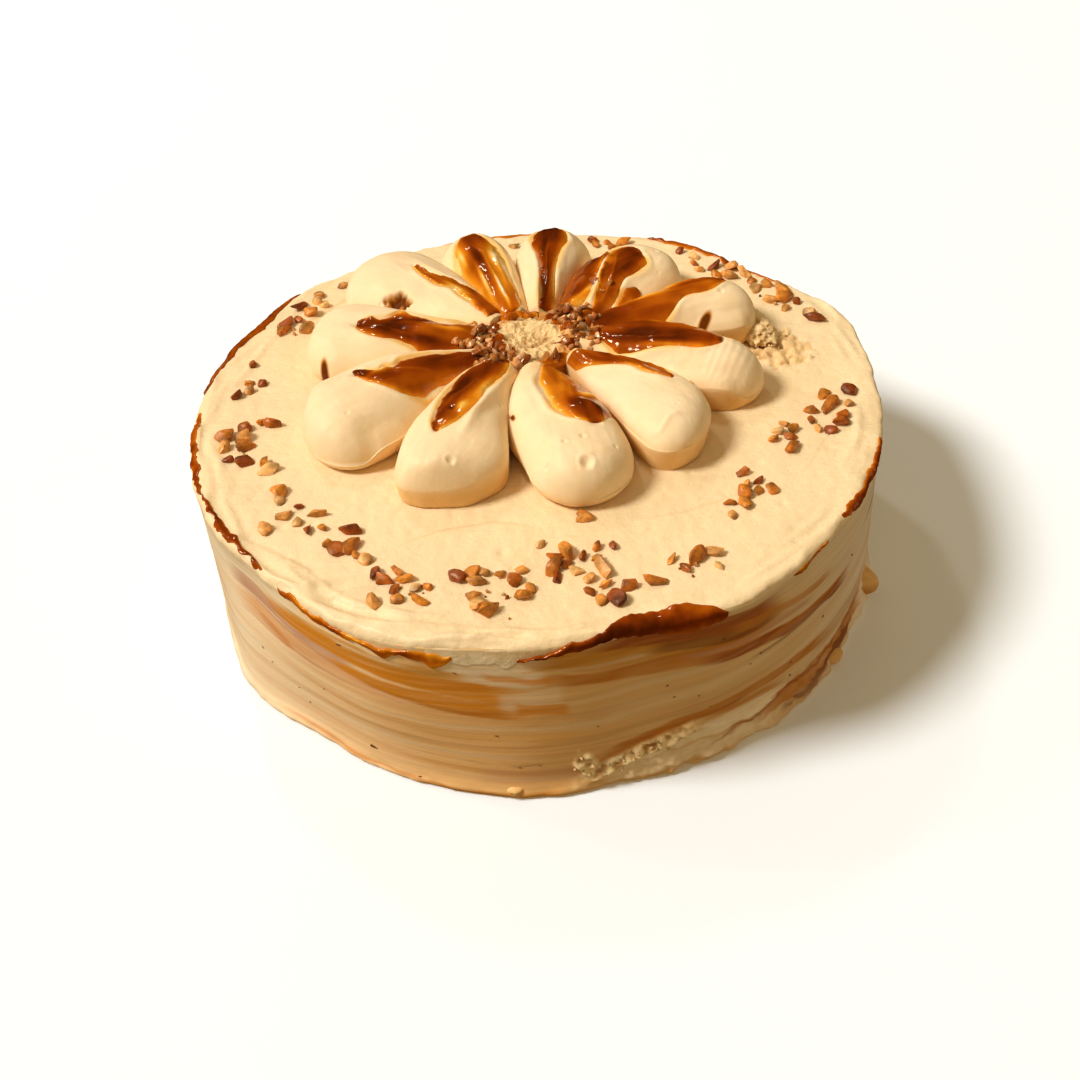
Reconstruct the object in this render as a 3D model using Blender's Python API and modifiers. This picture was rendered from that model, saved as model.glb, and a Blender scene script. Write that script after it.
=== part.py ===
"""A whole, uncut dulce de leche cake with a piped flower on top.

The iced cake is a turned solid whose wall and foot swell and dip a little, with chopped nuts fused to its top.
Eleven piped cream petals stand round a heap of crumbs and nuts, and each petal's spoon-drawn channel holds
its own pool of thick caramel. Metres, +Z up, origin at the centre of the cake's underside.
"""

import math
import random

import bmesh
import bpy
import numpy as np
from mathutils import Euler, Matrix, Vector

# Driving sizes, in metres and degrees. Angles run anticlockwise from +X, seen from above.
CAKE_RADIUS = 0.115
CAKE_HEIGHT = 0.0645
CAKE_STEPS = 96
EDGE_ROUND = 0.0045
FOOT_ROUND = 0.0015
FOOT_FLARE = 0.0012
FLARE_HEIGHT = 0.009
GAP = 0.0003

# Where the spread icing stands out or dips: (angle, half width, amount).
RIM_WAVES = (
    (-142, 7, -0.0020),
    (-114, 11, 0.0028),
    (-76, 8, -0.0033),
    (18, 10, 0.0035),
    (41, 9, -0.0040),
    (90, 38, -0.0055),
    (137, 8, 0.0015),
)
FOOT_WAVES = (
    (-148, 7, 0.0022),
    (-130, 9, -0.0016),
    (-97, 9, 0.0010),
    (-79, 8, -0.0012),
    (60, 12, -0.0015),
    (150, 10, 0.0012),
)
# Lumps of icing squeezed out at the foot: angle, width along the wall, height, how far they stand out.
FOOT_LUMPS = (
    (-20, 0.0080, 0.0135, 0.0042),
    (-37, 0.0100, 0.0050, 0.0024),
    (-52, 0.0120, 0.0040, 0.0018),
    (-97, 0.0085, 0.0045, 0.0022),
    (165, 0.0110, 0.0045, 0.0018),
    (75, 0.0100, 0.0050, 0.0020),
)
LUMP_SEGMENTS = 10
LUMP_RINGS = 6
# Thick caramel that slid over the top edge: it starts this far below the top.
SPILL_WAVES = ((-72, 5, 0.0010), (-61, 6, 0.0022), (-50, 4, 0.0012), (-145, 8, 0.0010))
SPILL_DEPTH = 0.011

# The flower.
FLOWER_CENTRE = (0.001, 0.020)
PETAL_START = 0.0175
PETAL_STATIONS = 15
TIP_ROUND = 0.016
WAIST = 0.64
INNER_HEIGHT = 0.60
MIDDLE = 0.46
BASE_WIDTH = 0.82
CHANNEL_DEPTH = 0.0048
CHANNEL_SPREAD = 1.25
POOL_THICKNESS = 0.0026
POOL_LIP = 0.0006
POOL_NARROWEST = 0.0013

# Each petal: direction, length from the flower's centre, width, crown height.
PETALS = (
    (-110, 0.079, 0.036, 0.0170),
    (-82, 0.080, 0.032, 0.0160),
    (-55, 0.078, 0.033, 0.0170),
    (-18, 0.080, 0.039, 0.0175),
    (13, 0.079, 0.041, 0.0160),
    (45, 0.068, 0.038, 0.0160),
    (80, 0.069, 0.033, 0.0165),
    (108, 0.073, 0.034, 0.0165),
    (141, 0.081, 0.037, 0.0165),
    (175, 0.076, 0.039, 0.0165),
    (211, 0.083, 0.039, 0.0175),
)
# Each pool: petal number, start, end, half width, widest place (0 to 1), sideways place at start and at end.
POOLS = (
    (1, 0.019, 0.060, 0.0050, 0.60, -0.0020, -0.0125),
    (2, 0.022, 0.057, 0.0056, 0.62, 0.0020, 0.0060),
    (4, 0.019, 0.064, 0.0060, 0.70, 0.0010, 0.0090),
    (5, 0.019, 0.072, 0.0042, 0.80, 0.0000, 0.0064),
    (6, 0.020, 0.063, 0.0092, 0.60, -0.0010, 0.0070),
    (7, 0.019, 0.066, 0.0048, 0.85, 0.0000, -0.0005),
    (8, 0.019, 0.069, 0.0086, 0.72, 0.0030, 0.0000),
    (9, 0.019, 0.051, 0.0026, 0.50, -0.0050, -0.0110),
    (10, 0.018, 0.061, 0.0070, 0.45, 0.0010, -0.0065),
    (11, 0.019, 0.062, 0.0085, 0.55, 0.0030, -0.0110),
)

# The heap of crumbs and nuts in the middle of the flower: its profile, (radius, height), top to bottom.
HEAP_PROFILE = (
    (0.0, 0.0092),
    (0.0065, 0.0089),
    (0.0118, 0.0078),
    (0.0155, 0.0052),
    (0.0171, 0.0016),
    (0.0168, 0.0),
    (0.0, 0.0),
)
HEAP_STEPS = 24
HEAP_NUTS = 18
HEAP_NUT_RADIUS = 0.0135

# Chopped nuts on the top: (angle, distance from the cake's centre, how many, how far they scatter).
NUT_CLUSTERS = (
    (-173, 0.098, 7, 0.007),
    (-162, 0.093, 4, 0.006),
    (-146, 0.097, 3, 0.008),
    (-135, 0.092, 7, 0.006),
    (-124, 0.098, 5, 0.006),
    (-114, 0.099, 8, 0.005),
    (-105, 0.091, 4, 0.004),
    (-97, 0.098, 6, 0.005),
    (-107, 0.068, 2, 0.004),
    (-88, 0.068, 2, 0.005),
    (-77, 0.080, 2, 0.004),
    (-66, 0.100, 5, 0.005),
    (-50, 0.098, 2, 0.005),
    (-46, 0.083, 4, 0.004),
    (-38, 0.086, 2, 0.004),
    (-15, 0.098, 4, 0.006),
    (-8, 0.101, 3, 0.003),
    (26, 0.103, 4, 0.004),
    (39, 0.101, 3, 0.003),
    (92, 0.096, 2, 0.004),
    (113, 0.100, 2, 0.003),
    (129, 0.103, 3, 0.004),
    (144, 0.102, 4, 0.004),
    (168, 0.097, 5, 0.006),
)
NUT_SIZES = (0.0038, 0.0070)
NUT_SEED = 17
NUT_SUNK = 0.28
NUT_CLEAR = 0.0046
NUT_OUTERMOST = 0.107

# Colours, linear RGB, with roughness.
ICING = ((0.80, 0.62, 0.36), 0.55)
CREAM = ((0.86, 0.70, 0.42), 0.45)
CARAMEL = ((0.33, 0.085, 0.008), 0.16)
CRUMB = ((0.62, 0.36, 0.12), 0.75)


def clear_scene():
    for obj in list(bpy.data.objects):
        bpy.data.objects.remove(obj)


def make_collection(name):
    collection = bpy.data.collections.new(name)
    bpy.context.scene.collection.children.link(collection)
    return collection


def make_material(name, finish):
    colour, roughness = finish
    material = bpy.data.materials.new(name)
    material.use_nodes = True
    shader = material.node_tree.nodes["Principled BSDF"]
    shader.inputs["Base Color"].default_value = (*colour, 1.0)
    shader.inputs["Roughness"].default_value = roughness
    material.diffuse_color = (*colour, 1.0)
    return material


def add_object(name, mesh, collection, material):
    obj = bpy.data.objects.new(name, mesh)
    obj.data.materials.append(material)
    collection.objects.link(obj)
    return obj


def shade(mesh, angle=40):
    mesh.shade_smooth()
    mesh.set_sharp_from_angle(angle=math.radians(angle))


def evaluated_mesh(obj):
    """The object's mesh with its modifiers applied."""
    bpy.context.view_layer.update()
    graph = bpy.context.evaluated_depsgraph_get()
    return bpy.data.meshes.new_from_object(obj.evaluated_get(graph))


def smooth_step(value):
    value = np.clip(value, 0.0, 1.0)
    return value * value * (3 - 2 * value)


def waves_at(angles, waves):
    """The sum of the bell-shaped swellings of that list, at each angle."""
    total = np.zeros_like(angles)
    for centre, half_width, amount in waves:
        apart = (angles - centre + 180) % 360 - 180
        total += amount * np.exp(-((apart / half_width) ** 2))
    return total


def turned(name, profile, steps, collection, material):
    """A solid of revolution: the profile runs from the top of the axis down the outside to its foot."""
    mesh = bpy.data.meshes.new(name)
    corners = [(radius, 0.0, height) for radius, height in profile]
    mesh.from_pydata(corners, [(i, i + 1) for i in range(len(corners) - 1)], [])
    obj = add_object(name, mesh, collection, material)
    screw = obj.modifiers.new("turn", "SCREW")
    screw.steps = steps
    screw.render_steps = steps
    screw.use_merge_vertices = True
    screw.merge_threshold = 0.00001
    obj.data = evaluated_mesh(obj)
    obj.modifiers.clear()
    bpy.data.meshes.remove(mesh)
    return obj


def cake_profile():
    """The icing's outline: flat top, rounded edge, upright wall, a foot with a small round."""
    arc = [math.radians(90 - 30 * i) for i in range(4)]
    edge = [
        (CAKE_RADIUS - EDGE_ROUND * (1 - math.cos(a)), CAKE_HEIGHT - EDGE_ROUND * (1 - math.sin(a)))
        for a in arc
    ]
    wall = [(CAKE_RADIUS, CAKE_HEIGHT * share) for share in (0.80, 0.62, 0.42, 0.24, 0.11, 0.05)]
    foot = [(CAKE_RADIUS, FOOT_ROUND), (CAKE_RADIUS - FOOT_ROUND, 0.0)]
    return [(0.0, CAKE_HEIGHT), *edge, *wall, *foot, (0.0, 0.0)]


def spread_icing(mesh):
    """Moves the turned wall in and out by the rim, spill and foot waves, and flares its foot."""
    points = np.empty(len(mesh.vertices) * 3, np.float32)
    mesh.vertices.foreach_get("co", points)
    points = points.reshape(-1, 3).astype(float)
    angles = np.degrees(np.arctan2(points[:, 1], points[:, 0]))
    up = points[:, 2] / CAKE_HEIGHT
    rise = smooth_step(up)
    spill = smooth_step(1 - (CAKE_HEIGHT - points[:, 2]) / SPILL_DEPTH)
    flare = FOOT_FLARE * (1 - smooth_step(points[:, 2] / FLARE_HEIGHT))
    swell = rise * waves_at(angles, RIM_WAVES) + (1 - rise) ** 2 * waves_at(angles, FOOT_WAVES)
    swell += spill * waves_at(angles, SPILL_WAVES) + flare
    points[:, :2] *= (1 + swell / CAKE_RADIUS)[:, None]
    mesh.vertices.foreach_set("co", points.astype(np.float32).ravel())
    mesh.update()


class Petal:
    """One piped petal, in its own frame: s runs out along it, x across it to the left, z up from the cake."""

    def __init__(self, number):
        self.angle, self.length, self.width, self.height = PETALS[number - 1]
        before = PETALS[number - 2][0]
        after = PETALS[number % len(PETALS)][0]
        self.right_gap = math.radians((self.angle - before) % 360 / 2)
        self.left_gap = math.radians((after - self.angle) % 360 / 2)
        self.pool = next((pool for pool in POOLS if pool[0] == number), None)

    def stations(self):
        """Places along the petal, closer together towards its tip, where it ends in a point."""
        share = np.linspace(0.0, 1.0, PETAL_STATIONS + 1)
        share = 1 - (1 - share) ** 1.45
        return PETAL_START + (self.length - PETAL_START) * share

    def tip(self, s):
        """1 along the petal and round to 0 at its end, like the end of an ellipse."""
        past = np.clip((s - self.length + TIP_ROUND) / TIP_ROUND, 0.0, 1.0)
        return np.sqrt(1 - past**2)

    def half_width(self, s, side):
        """The bulb's width, or less where the neighbouring petal leaves only a wedge."""
        swell = smooth_step((s - PETAL_START) / (0.52 * (self.length - PETAL_START)))
        bulb = self.width / 2 * (WAIST + (1 - WAIST) * swell) * self.tip(s)
        wedge = s * math.tan(self.left_gap if side > 0 else self.right_gap) - GAP / 2
        return np.minimum(bulb, wedge)

    def crown(self, s):
        """Height of the petal's ridge line, low at the flower's centre."""
        swell = smooth_step((s - PETAL_START) / (0.7 * (self.length - PETAL_START)))
        full = self.height * (INNER_HEIGHT + (1 - INNER_HEIGHT) * swell)
        return self.middle() + (full - self.middle()) * self.tip(s) ** 0.8

    def middle(self):
        """Height at which the petal is widest."""
        return MIDDLE * self.height * INNER_HEIGHT

    def channel(self, s):
        """Middle line and half width of the spoon-drawn channel, kept inside the petal."""
        _, start, end, half, widest, side_in, side_out = self.pool
        along = np.clip((s - start) / (end - start), 0.0, 1.0)
        inner = 0.62 + 0.38 * smooth_step(along / widest)
        past = np.clip((along - widest) / (1 - widest), 0.0, 1.0)
        half_width = np.maximum(half * inner * np.sqrt(1 - 0.93 * past**2), POOL_NARROWEST)
        room_left = 0.80 * self.half_width(s, 1)
        room_right = 0.80 * self.half_width(s, -1)
        half_width = np.minimum(half_width, 0.45 * (room_left + room_right))
        middle = side_in + (side_out - side_in) * along
        return np.clip(middle, half_width - room_right, room_left - half_width), half_width

    def columns(self, s):
        """Places across the petal's upper side at each station: two at each edge and five over the channel."""
        left, right = self.half_width(s, 1), self.half_width(s, -1)
        if self.pool:
            middle, half = self.channel(s)
        else:
            middle, half = np.zeros_like(s), 0.4 * np.minimum(left, right)
        inner = [middle + half * step for step in (-1.0, -0.5, 0.0, 0.5, 1.0)]
        return np.stack([-right, -0.88 * right, *inner, 0.88 * left, left], axis=1)

    def top(self, s, x):
        """The upper surface: a dome over the half width, less the channel."""
        s = s[:, None]
        half = np.where(x > 0, self.half_width(s, 1), self.half_width(s, -1))
        across = np.clip(np.abs(x) / np.maximum(half, 1e-6), 0.0, 1.0)
        dome = np.sqrt(np.clip(1 - across**2.5, 0.0, 1.0))
        height = self.middle() + (self.crown(s) - self.middle()) * dome
        if self.pool:
            middle, half_channel = self.channel(s)
            fade = smooth_step((self.pool[2] + 0.004 - s) / 0.006)
            bowl = np.clip(1 - ((x - middle) / (CHANNEL_SPREAD * half_channel)) ** 2, 0.0, 1.0)
            height = height - CHANNEL_DEPTH * fade * bowl
        return height

    def place(self, s, x, z):
        """Points of the petal's frame as points on the cake."""
        angle = math.radians(self.angle)
        s = np.broadcast_to(s, x.shape)
        return np.stack(
            [
                FLOWER_CENTRE[0] + s * math.cos(angle) - x * math.sin(angle),
                FLOWER_CENTRE[1] + s * math.sin(angle) + x * math.cos(angle),
                CAKE_HEIGHT + GAP + z,
            ],
            axis=-1,
        )

    def covers(self, x, y, clear):
        """Whether that place on the cake's top is under the petal or within the clearance of it."""
        angle = math.radians(self.angle)
        x, y = x - FLOWER_CENTRE[0], y - FLOWER_CENTRE[1]
        s = x * math.cos(angle) + y * math.sin(angle)
        across = y * math.cos(angle) - x * math.sin(angle)
        if not PETAL_START - clear < s < self.length + clear:
            return False
        reach = np.linspace(s - clear, s + clear, 5).clip(PETAL_START, self.length - 0.001)
        return abs(across) < float(self.half_width(reach, math.copysign(1, across)).max()) + clear


def lofted_mesh(name, rings, cap_start, pole_end):
    """Joins the rings of points into a closed skin: a flat cap at the start, a cap or a pole at the end."""
    bm = bmesh.new()
    rows = [[bm.verts.new(point) for point in ring] for ring in rings]
    count = len(rows[0])
    for row, following in zip(rows, rows[1:]):
        for i in range(count):
            j = (i + 1) % count
            bm.faces.new((row[i], row[j], following[i]))
            bm.faces.new((row[j], following[j], following[i]))
    if cap_start:
        bm.faces.new(rows[0])
    if pole_end is None:
        bm.faces.new(rows[-1])
    else:
        pole = bm.verts.new(pole_end)
        for i in range(count):
            bm.faces.new((rows[-1][i], rows[-1][(i + 1) % count], pole))
    bmesh.ops.recalc_face_normals(bm, faces=bm.faces)
    mesh = bpy.data.meshes.new(name)
    bm.to_mesh(mesh)
    bm.free()
    return mesh


def add_petal(petal, name, collection, material):
    """A closed loft: nine points over the top and two under it at each station, and a pole at the tip."""
    stations = petal.stations()[:-1]
    x = petal.columns(stations)
    upper = petal.place(stations[:, None], x, petal.top(stations, x))
    foot = BASE_WIDTH * x[:, [-1, 0]]
    under = petal.place(stations[:, None], foot, np.zeros_like(foot))
    rings = np.concatenate([upper, under], axis=1)
    pole = petal.place(np.array(petal.length), np.array(0.0), np.array(petal.middle()))
    mesh = lofted_mesh(name, rings, True, tuple(pole))
    shade(mesh, 60)
    return add_object(name, mesh, collection, material)


def add_pool(petal, name, collection, material):
    """Caramel over the channel's own five columns: its underside follows the petal, a gap above it."""
    stations = petal.stations()
    start, end = petal.pool[1], petal.pool[2]
    stations = stations[(stations > start) & (stations < end + 0.001)]
    x = petal.columns(stations)[:, 2:7]
    floor = petal.top(stations, x) + GAP
    across = np.array([-1.0, -0.5, 0.0, 0.5, 1.0]) ** 2
    ends = np.minimum(stations - stations[0], stations[-1] - stations) / 0.006
    body = (1 - across)[None, :] * (0.35 + 0.65 * smooth_step(ends))[:, None]
    level = floor + POOL_LIP + (POOL_THICKNESS - POOL_LIP) * body
    below = petal.place(stations[:, None], x, floor)
    above = petal.place(stations[:, None], x, level)
    rings = np.concatenate([below, above[:, ::-1]], axis=1)
    mesh = lofted_mesh(name, rings, True, None)
    shade(mesh, 60)
    return add_object(name, mesh, collection, material)


def add_chip(name, spot, draw, collection, material):
    """One chopped nut: an icosahedron, stretched, knocked out of true, turned and pressed into its bed."""
    size = draw.uniform(*NUT_SIZES)
    scale = (size / 2, size / 2 * draw.uniform(0.55, 0.9), size / 2 * draw.uniform(0.5, 0.75))
    turn = Euler((draw.uniform(-0.5, 0.5), draw.uniform(-0.5, 0.5), draw.uniform(0, math.tau)))
    bm = bmesh.new()
    bmesh.ops.create_icosphere(bm, subdivisions=1, radius=1.0)
    for vertex in bm.verts:
        corner = vertex.co * draw.uniform(0.86, 1.18)
        corner = Vector(c * s for c, s in zip(corner, scale))
        corner.rotate(turn)
        vertex.co = corner
    lowest = min(vertex.co.z for vertex in bm.verts)
    highest = max(vertex.co.z for vertex in bm.verts)
    lift = Vector((0.0, 0.0, -lowest - NUT_SUNK * (highest - lowest)))
    bmesh.ops.translate(bm, verts=bm.verts, vec=Vector(spot) + lift)
    mesh = bpy.data.meshes.new(name)
    bm.to_mesh(mesh)
    bm.free()
    return add_object(name, mesh, collection, material)


def add_lump(name, lump, collection, material):
    """A flattened ball sunk in the wall, standing just clear of the cake's underside."""
    angle, width, height, proud = lump
    bm = bmesh.new()
    bmesh.ops.create_uvsphere(bm, u_segments=LUMP_SEGMENTS, v_segments=LUMP_RINGS, radius=1.0)
    bmesh.ops.scale(bm, verts=bm.verts, vec=(2 * proud, width / 2, height / 2))
    bmesh.ops.rotate(bm, verts=bm.verts, matrix=Matrix.Rotation(math.radians(angle), 3, "Z"))
    wall = CAKE_RADIUS + FOOT_FLARE / 2 - proud
    place = Matrix.Rotation(math.radians(angle), 3, "Z") @ Vector((wall, 0.0, height / 2 + GAP))
    bmesh.ops.translate(bm, verts=bm.verts, vec=place)
    mesh = bpy.data.meshes.new(name)
    bm.to_mesh(mesh)
    bm.free()
    return add_object(name, mesh, collection, material)


def cluster_spots(draw, petals):
    """Places for the nuts of each cluster, clear of the petals and of the cake's edge."""
    spots = []
    for angle, distance, count, scatter in NUT_CLUSTERS:
        middle = Vector((math.cos(math.radians(angle)), math.sin(math.radians(angle)))) * distance
        for _ in range(count):
            turn, reach = draw.uniform(0, math.tau), scatter * math.sqrt(draw.random())
            x, y = middle.x + reach * math.cos(turn), middle.y + reach * math.sin(turn)
            if math.hypot(x, y) > NUT_OUTERMOST:
                continue
            if not any(petal.covers(x, y, NUT_CLEAR) for petal in petals):
                spots.append((x, y, CAKE_HEIGHT))
    return spots


def heap_spots(draw):
    """Places for nuts spread evenly over the heap by the golden angle, each on the heap's surface."""
    radii, heights = zip(*HEAP_PROFILE[:-2])
    spots = []
    for i in range(HEAP_NUTS):
        reach = HEAP_NUT_RADIUS * math.sqrt((i + 0.5) / HEAP_NUTS)
        turn = i * math.pi * (3 - math.sqrt(5)) + draw.uniform(-0.3, 0.3)
        height = float(np.interp(reach, radii, heights))
        x, y = FLOWER_CENTRE[0] + reach * math.cos(turn), FLOWER_CENTRE[1] + reach * math.sin(turn)
        spots.append((x, y, CAKE_HEIGHT + GAP + height))
    return spots


def fuse(base, chips):
    """Joins every object of the collection to the base by one Boolean union, then removes them."""
    join = base.modifiers.new("fuse", "BOOLEAN")
    join.operation = "UNION"
    join.operand_type = "COLLECTION"
    join.collection = chips
    join.solver = "EXACT"
    joined = evaluated_mesh(base)
    base.modifiers.clear()
    base.data = joined
    for chip in list(chips.objects):
        bpy.data.objects.remove(chip)
    bpy.data.collections.remove(chips)
    shade(base.data)


def nuts_on(base, spots, draw, material, lumps=()):
    chips = make_collection("chips")
    for number, spot in enumerate(spots):
        add_chip(f"chip_{number}", spot, draw, chips, material)
    for number, lump in enumerate(lumps):
        add_lump(f"lump_{number}", lump, chips, base.data.materials[0])
    fuse(base, chips)


def main():
    clear_scene()
    parts = make_collection("dulce_de_leche_cake")
    icing, cream = make_material("icing", ICING), make_material("cream", CREAM)
    caramel, crumb = make_material("caramel", CARAMEL), make_material("crumb", CRUMB)
    petals = [Petal(number) for number in range(1, len(PETALS) + 1)]
    draw = random.Random(NUT_SEED)

    cake = turned("cake", cake_profile(), CAKE_STEPS, parts, icing)
    spread_icing(cake.data)
    nuts_on(cake, cluster_spots(draw, petals), draw, crumb, FOOT_LUMPS)

    heap_profile = [(radius, CAKE_HEIGHT + GAP + height) for radius, height in HEAP_PROFILE]
    heap = turned("flower_centre", heap_profile, HEAP_STEPS, parts, crumb)
    heap.data.transform(Matrix.Translation((*FLOWER_CENTRE, 0.0)))
    nuts_on(heap, heap_spots(draw), draw, crumb)

    for number, petal in enumerate(petals, start=1):
        add_petal(petal, f"petal_{number:02d}", parts, cream)
        if petal.pool:
            add_pool(petal, f"caramel_{number:02d}", parts, caramel)


main()
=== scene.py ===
"""The looks of a dulce de leche cake: spread icing, a piped flower, caramel, chopped nuts and crumbs.

Shapes are worked out in millimetres from the centre of the cake's underside, and make_piece turns them into
metres. Angles are in degrees, anticlockwise from +X seen from above. Each petal has its own frame: s runs
out along it, x across it to its left, z up from the iced top. A call for noise gives the size of its boxes
and a seed.
"""

import math
import random

import bmesh
import bpy
import numpy as np
from mathutils import Euler, Matrix, Vector


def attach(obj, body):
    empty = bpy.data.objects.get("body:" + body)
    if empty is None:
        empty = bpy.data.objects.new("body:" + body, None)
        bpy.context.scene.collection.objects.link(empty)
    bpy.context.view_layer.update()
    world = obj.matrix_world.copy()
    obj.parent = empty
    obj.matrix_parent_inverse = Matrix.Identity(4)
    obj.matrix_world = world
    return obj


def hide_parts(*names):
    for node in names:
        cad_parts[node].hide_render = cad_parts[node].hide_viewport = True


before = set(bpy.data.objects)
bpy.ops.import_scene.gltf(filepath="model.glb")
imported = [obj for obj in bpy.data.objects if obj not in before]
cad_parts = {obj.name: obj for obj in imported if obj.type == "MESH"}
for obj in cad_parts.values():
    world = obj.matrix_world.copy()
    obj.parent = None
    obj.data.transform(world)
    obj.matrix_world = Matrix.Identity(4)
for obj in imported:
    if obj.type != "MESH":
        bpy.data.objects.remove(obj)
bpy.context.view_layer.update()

MM = 0.001

# The cake, in millimetres and degrees.
CAKE_RADIUS = 115.0
CAKE_HEIGHT = 64.5
FOOT_ROUND = 1.5
FOOT_FLARE = 1.2
FLARE_HEIGHT = 9.0
GAP = 0.3
# Swellings of the rim, the foot and the spilling edge: angle, half width in degrees, how far out.
RIM_WAVES = (
    (-142, 7, -2.0),
    (-114, 11, 2.8),
    (-76, 8, -3.3),
    (18, 10, 3.5),
    (41, 9, -4.0),
    (90, 38, -5.5),
    (137, 8, 1.5),
)
FOOT_WAVES = (
    (-148, 7, 2.2),
    (-130, 9, -1.6),
    (-97, 9, 1.0),
    (-79, 8, -1.2),
    (60, 12, -1.5),
    (150, 10, 1.2),
)
SPILL_WAVES = ((-72, 5, 1.0), (-61, 6, 2.2), (-50, 4, 1.2), (-145, 8, 1.0))
# How far down from the top the spilling edge reaches.
SPILL_DEPTH = 11.0
# Lumps of icing squeezed out at the foot: angle, width along the wall, height, how far they stand out.
FOOT_LUMPS = (
    (-20, 8.0, 13.5, 4.2),
    (-37, 10.0, 5.0, 2.4),
    (-52, 12.0, 4.0, 1.8),
    (-97, 8.5, 4.8, 3.6),
    (165, 11.0, 4.5, 1.8),
    (75, 10.0, 5.0, 2.0),
)

# The lid of icing: how round its edge is, and where it hangs down the wall (angle, half width, how far).
LID_ROUND = 2.0
LID_PROUD = 0.35
LID_COLUMNS = 820
LID_DEPTH = 3.0
LID_HANGS = (
    (-98, 5.0, 4.5), (-103, 4.0, 2.6), (-134, 9, 0.8), (-150, 6, 0.8), (-30, 10, 0.6), (112, 9, 3.5),
    (60, 6, 2.2),
)
# The wall's grid, and how far its closed top lies under the lid's.
SIDE_COLUMNS = 1200
SIDE_ROWS = 96
SIDE_SUNK = 1.3
# Noise in the wall's and the top's relief, and in the course of the wall's streaks: strength, size of its
# boxes, seed.
WALL_RELIEF = ((0.05, (42, 42, 1.3), 1), (0.09, (60, 60, 4.5), 2), (0.30, (34, 34, 16), 3))
TOP_RELIEF = ((0.36, 34, 21), (0.18, (9, 17, 9), 22), (0.10, (3, 7, 3), 23))
STREAK_WANDER = ((0.8, (14, 14, 7), 12), (0.5, (6, 6, 2.2), 14))
# The torn edge low on the right of the wall: the angles that it runs between, its line, and the clot left
# of it (angle, height, half width in degrees, half height).
LEDGE_SPAN = (-90, -46)
LEDGE_LINE = ((-88, -83, -78, -74, -69, -62, -56, -50), (4, 8, 12, 14.2, 16.9, 13.5, 13.0, 10))
LEDGE_CLOT = (-86, 11.0, 1.5, 4.8)

# The flower.
FLOWER_CENTRE = (1.0, 18.0)
FLOWER_FOOT = np.array([*FLOWER_CENTRE, CAKE_HEIGHT + GAP])
# Where a petal starts, and how high its crown is there, as a share of its full height.
PETAL_START = 17.0
INNER_HEIGHT = 0.86
# A petal's grid: rows along it and along its rounded tip, columns over it, rows down each flank.
PETAL_ROWS = 92
TIP_ROWS = 48
PETAL_COLUMNS = 97
FLANK_ROWS = 11
# Height of a petal's widest line.
WIDEST_AT = {1: 7.0, 3: 9.0, 11: 3.8, 4: 3.8}
USUAL_WIDEST = 4.4
# Where a side was pressed upright, its widest line lies higher: side (-1 right, 1 left), from s, to s, how
# much.
RAISED_SIDES = {4: (-1, 40, 77, 4.8), 5: (-1, 48, 80, 4.6), 11: (1, 46, 74, 3.6), 2: (-1, 50, 78, 1.6)}
# How wide a petal stands on the icing, as a share of its width there.
BASE_WIDTHS = {1: 0.97, 4: 0.96, 3: 0.92, 5: 0.95}
USUAL_BASE = 0.84
# A channel is this much wider than its caramel, and this share of its depth shows.
CHANNEL_SPREAD = 1.16
CHANNEL_DEEPEST = 0.55
# How steeply a petal's back comes down to its tip, and how soon its chin turns in, where they aren't round.
NOSES = {1: (2.2, 1.0), 11: (0.9, 2.2), 3: (1.2, 1.2), 4: (1.0, 1.6)}
USUAL_NOSE = (0.8, 2.0)
# How much a petal's front keeps an edge where its back meets its chin.
CREASED = {1: 1.0, 3: 0.8}
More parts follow.
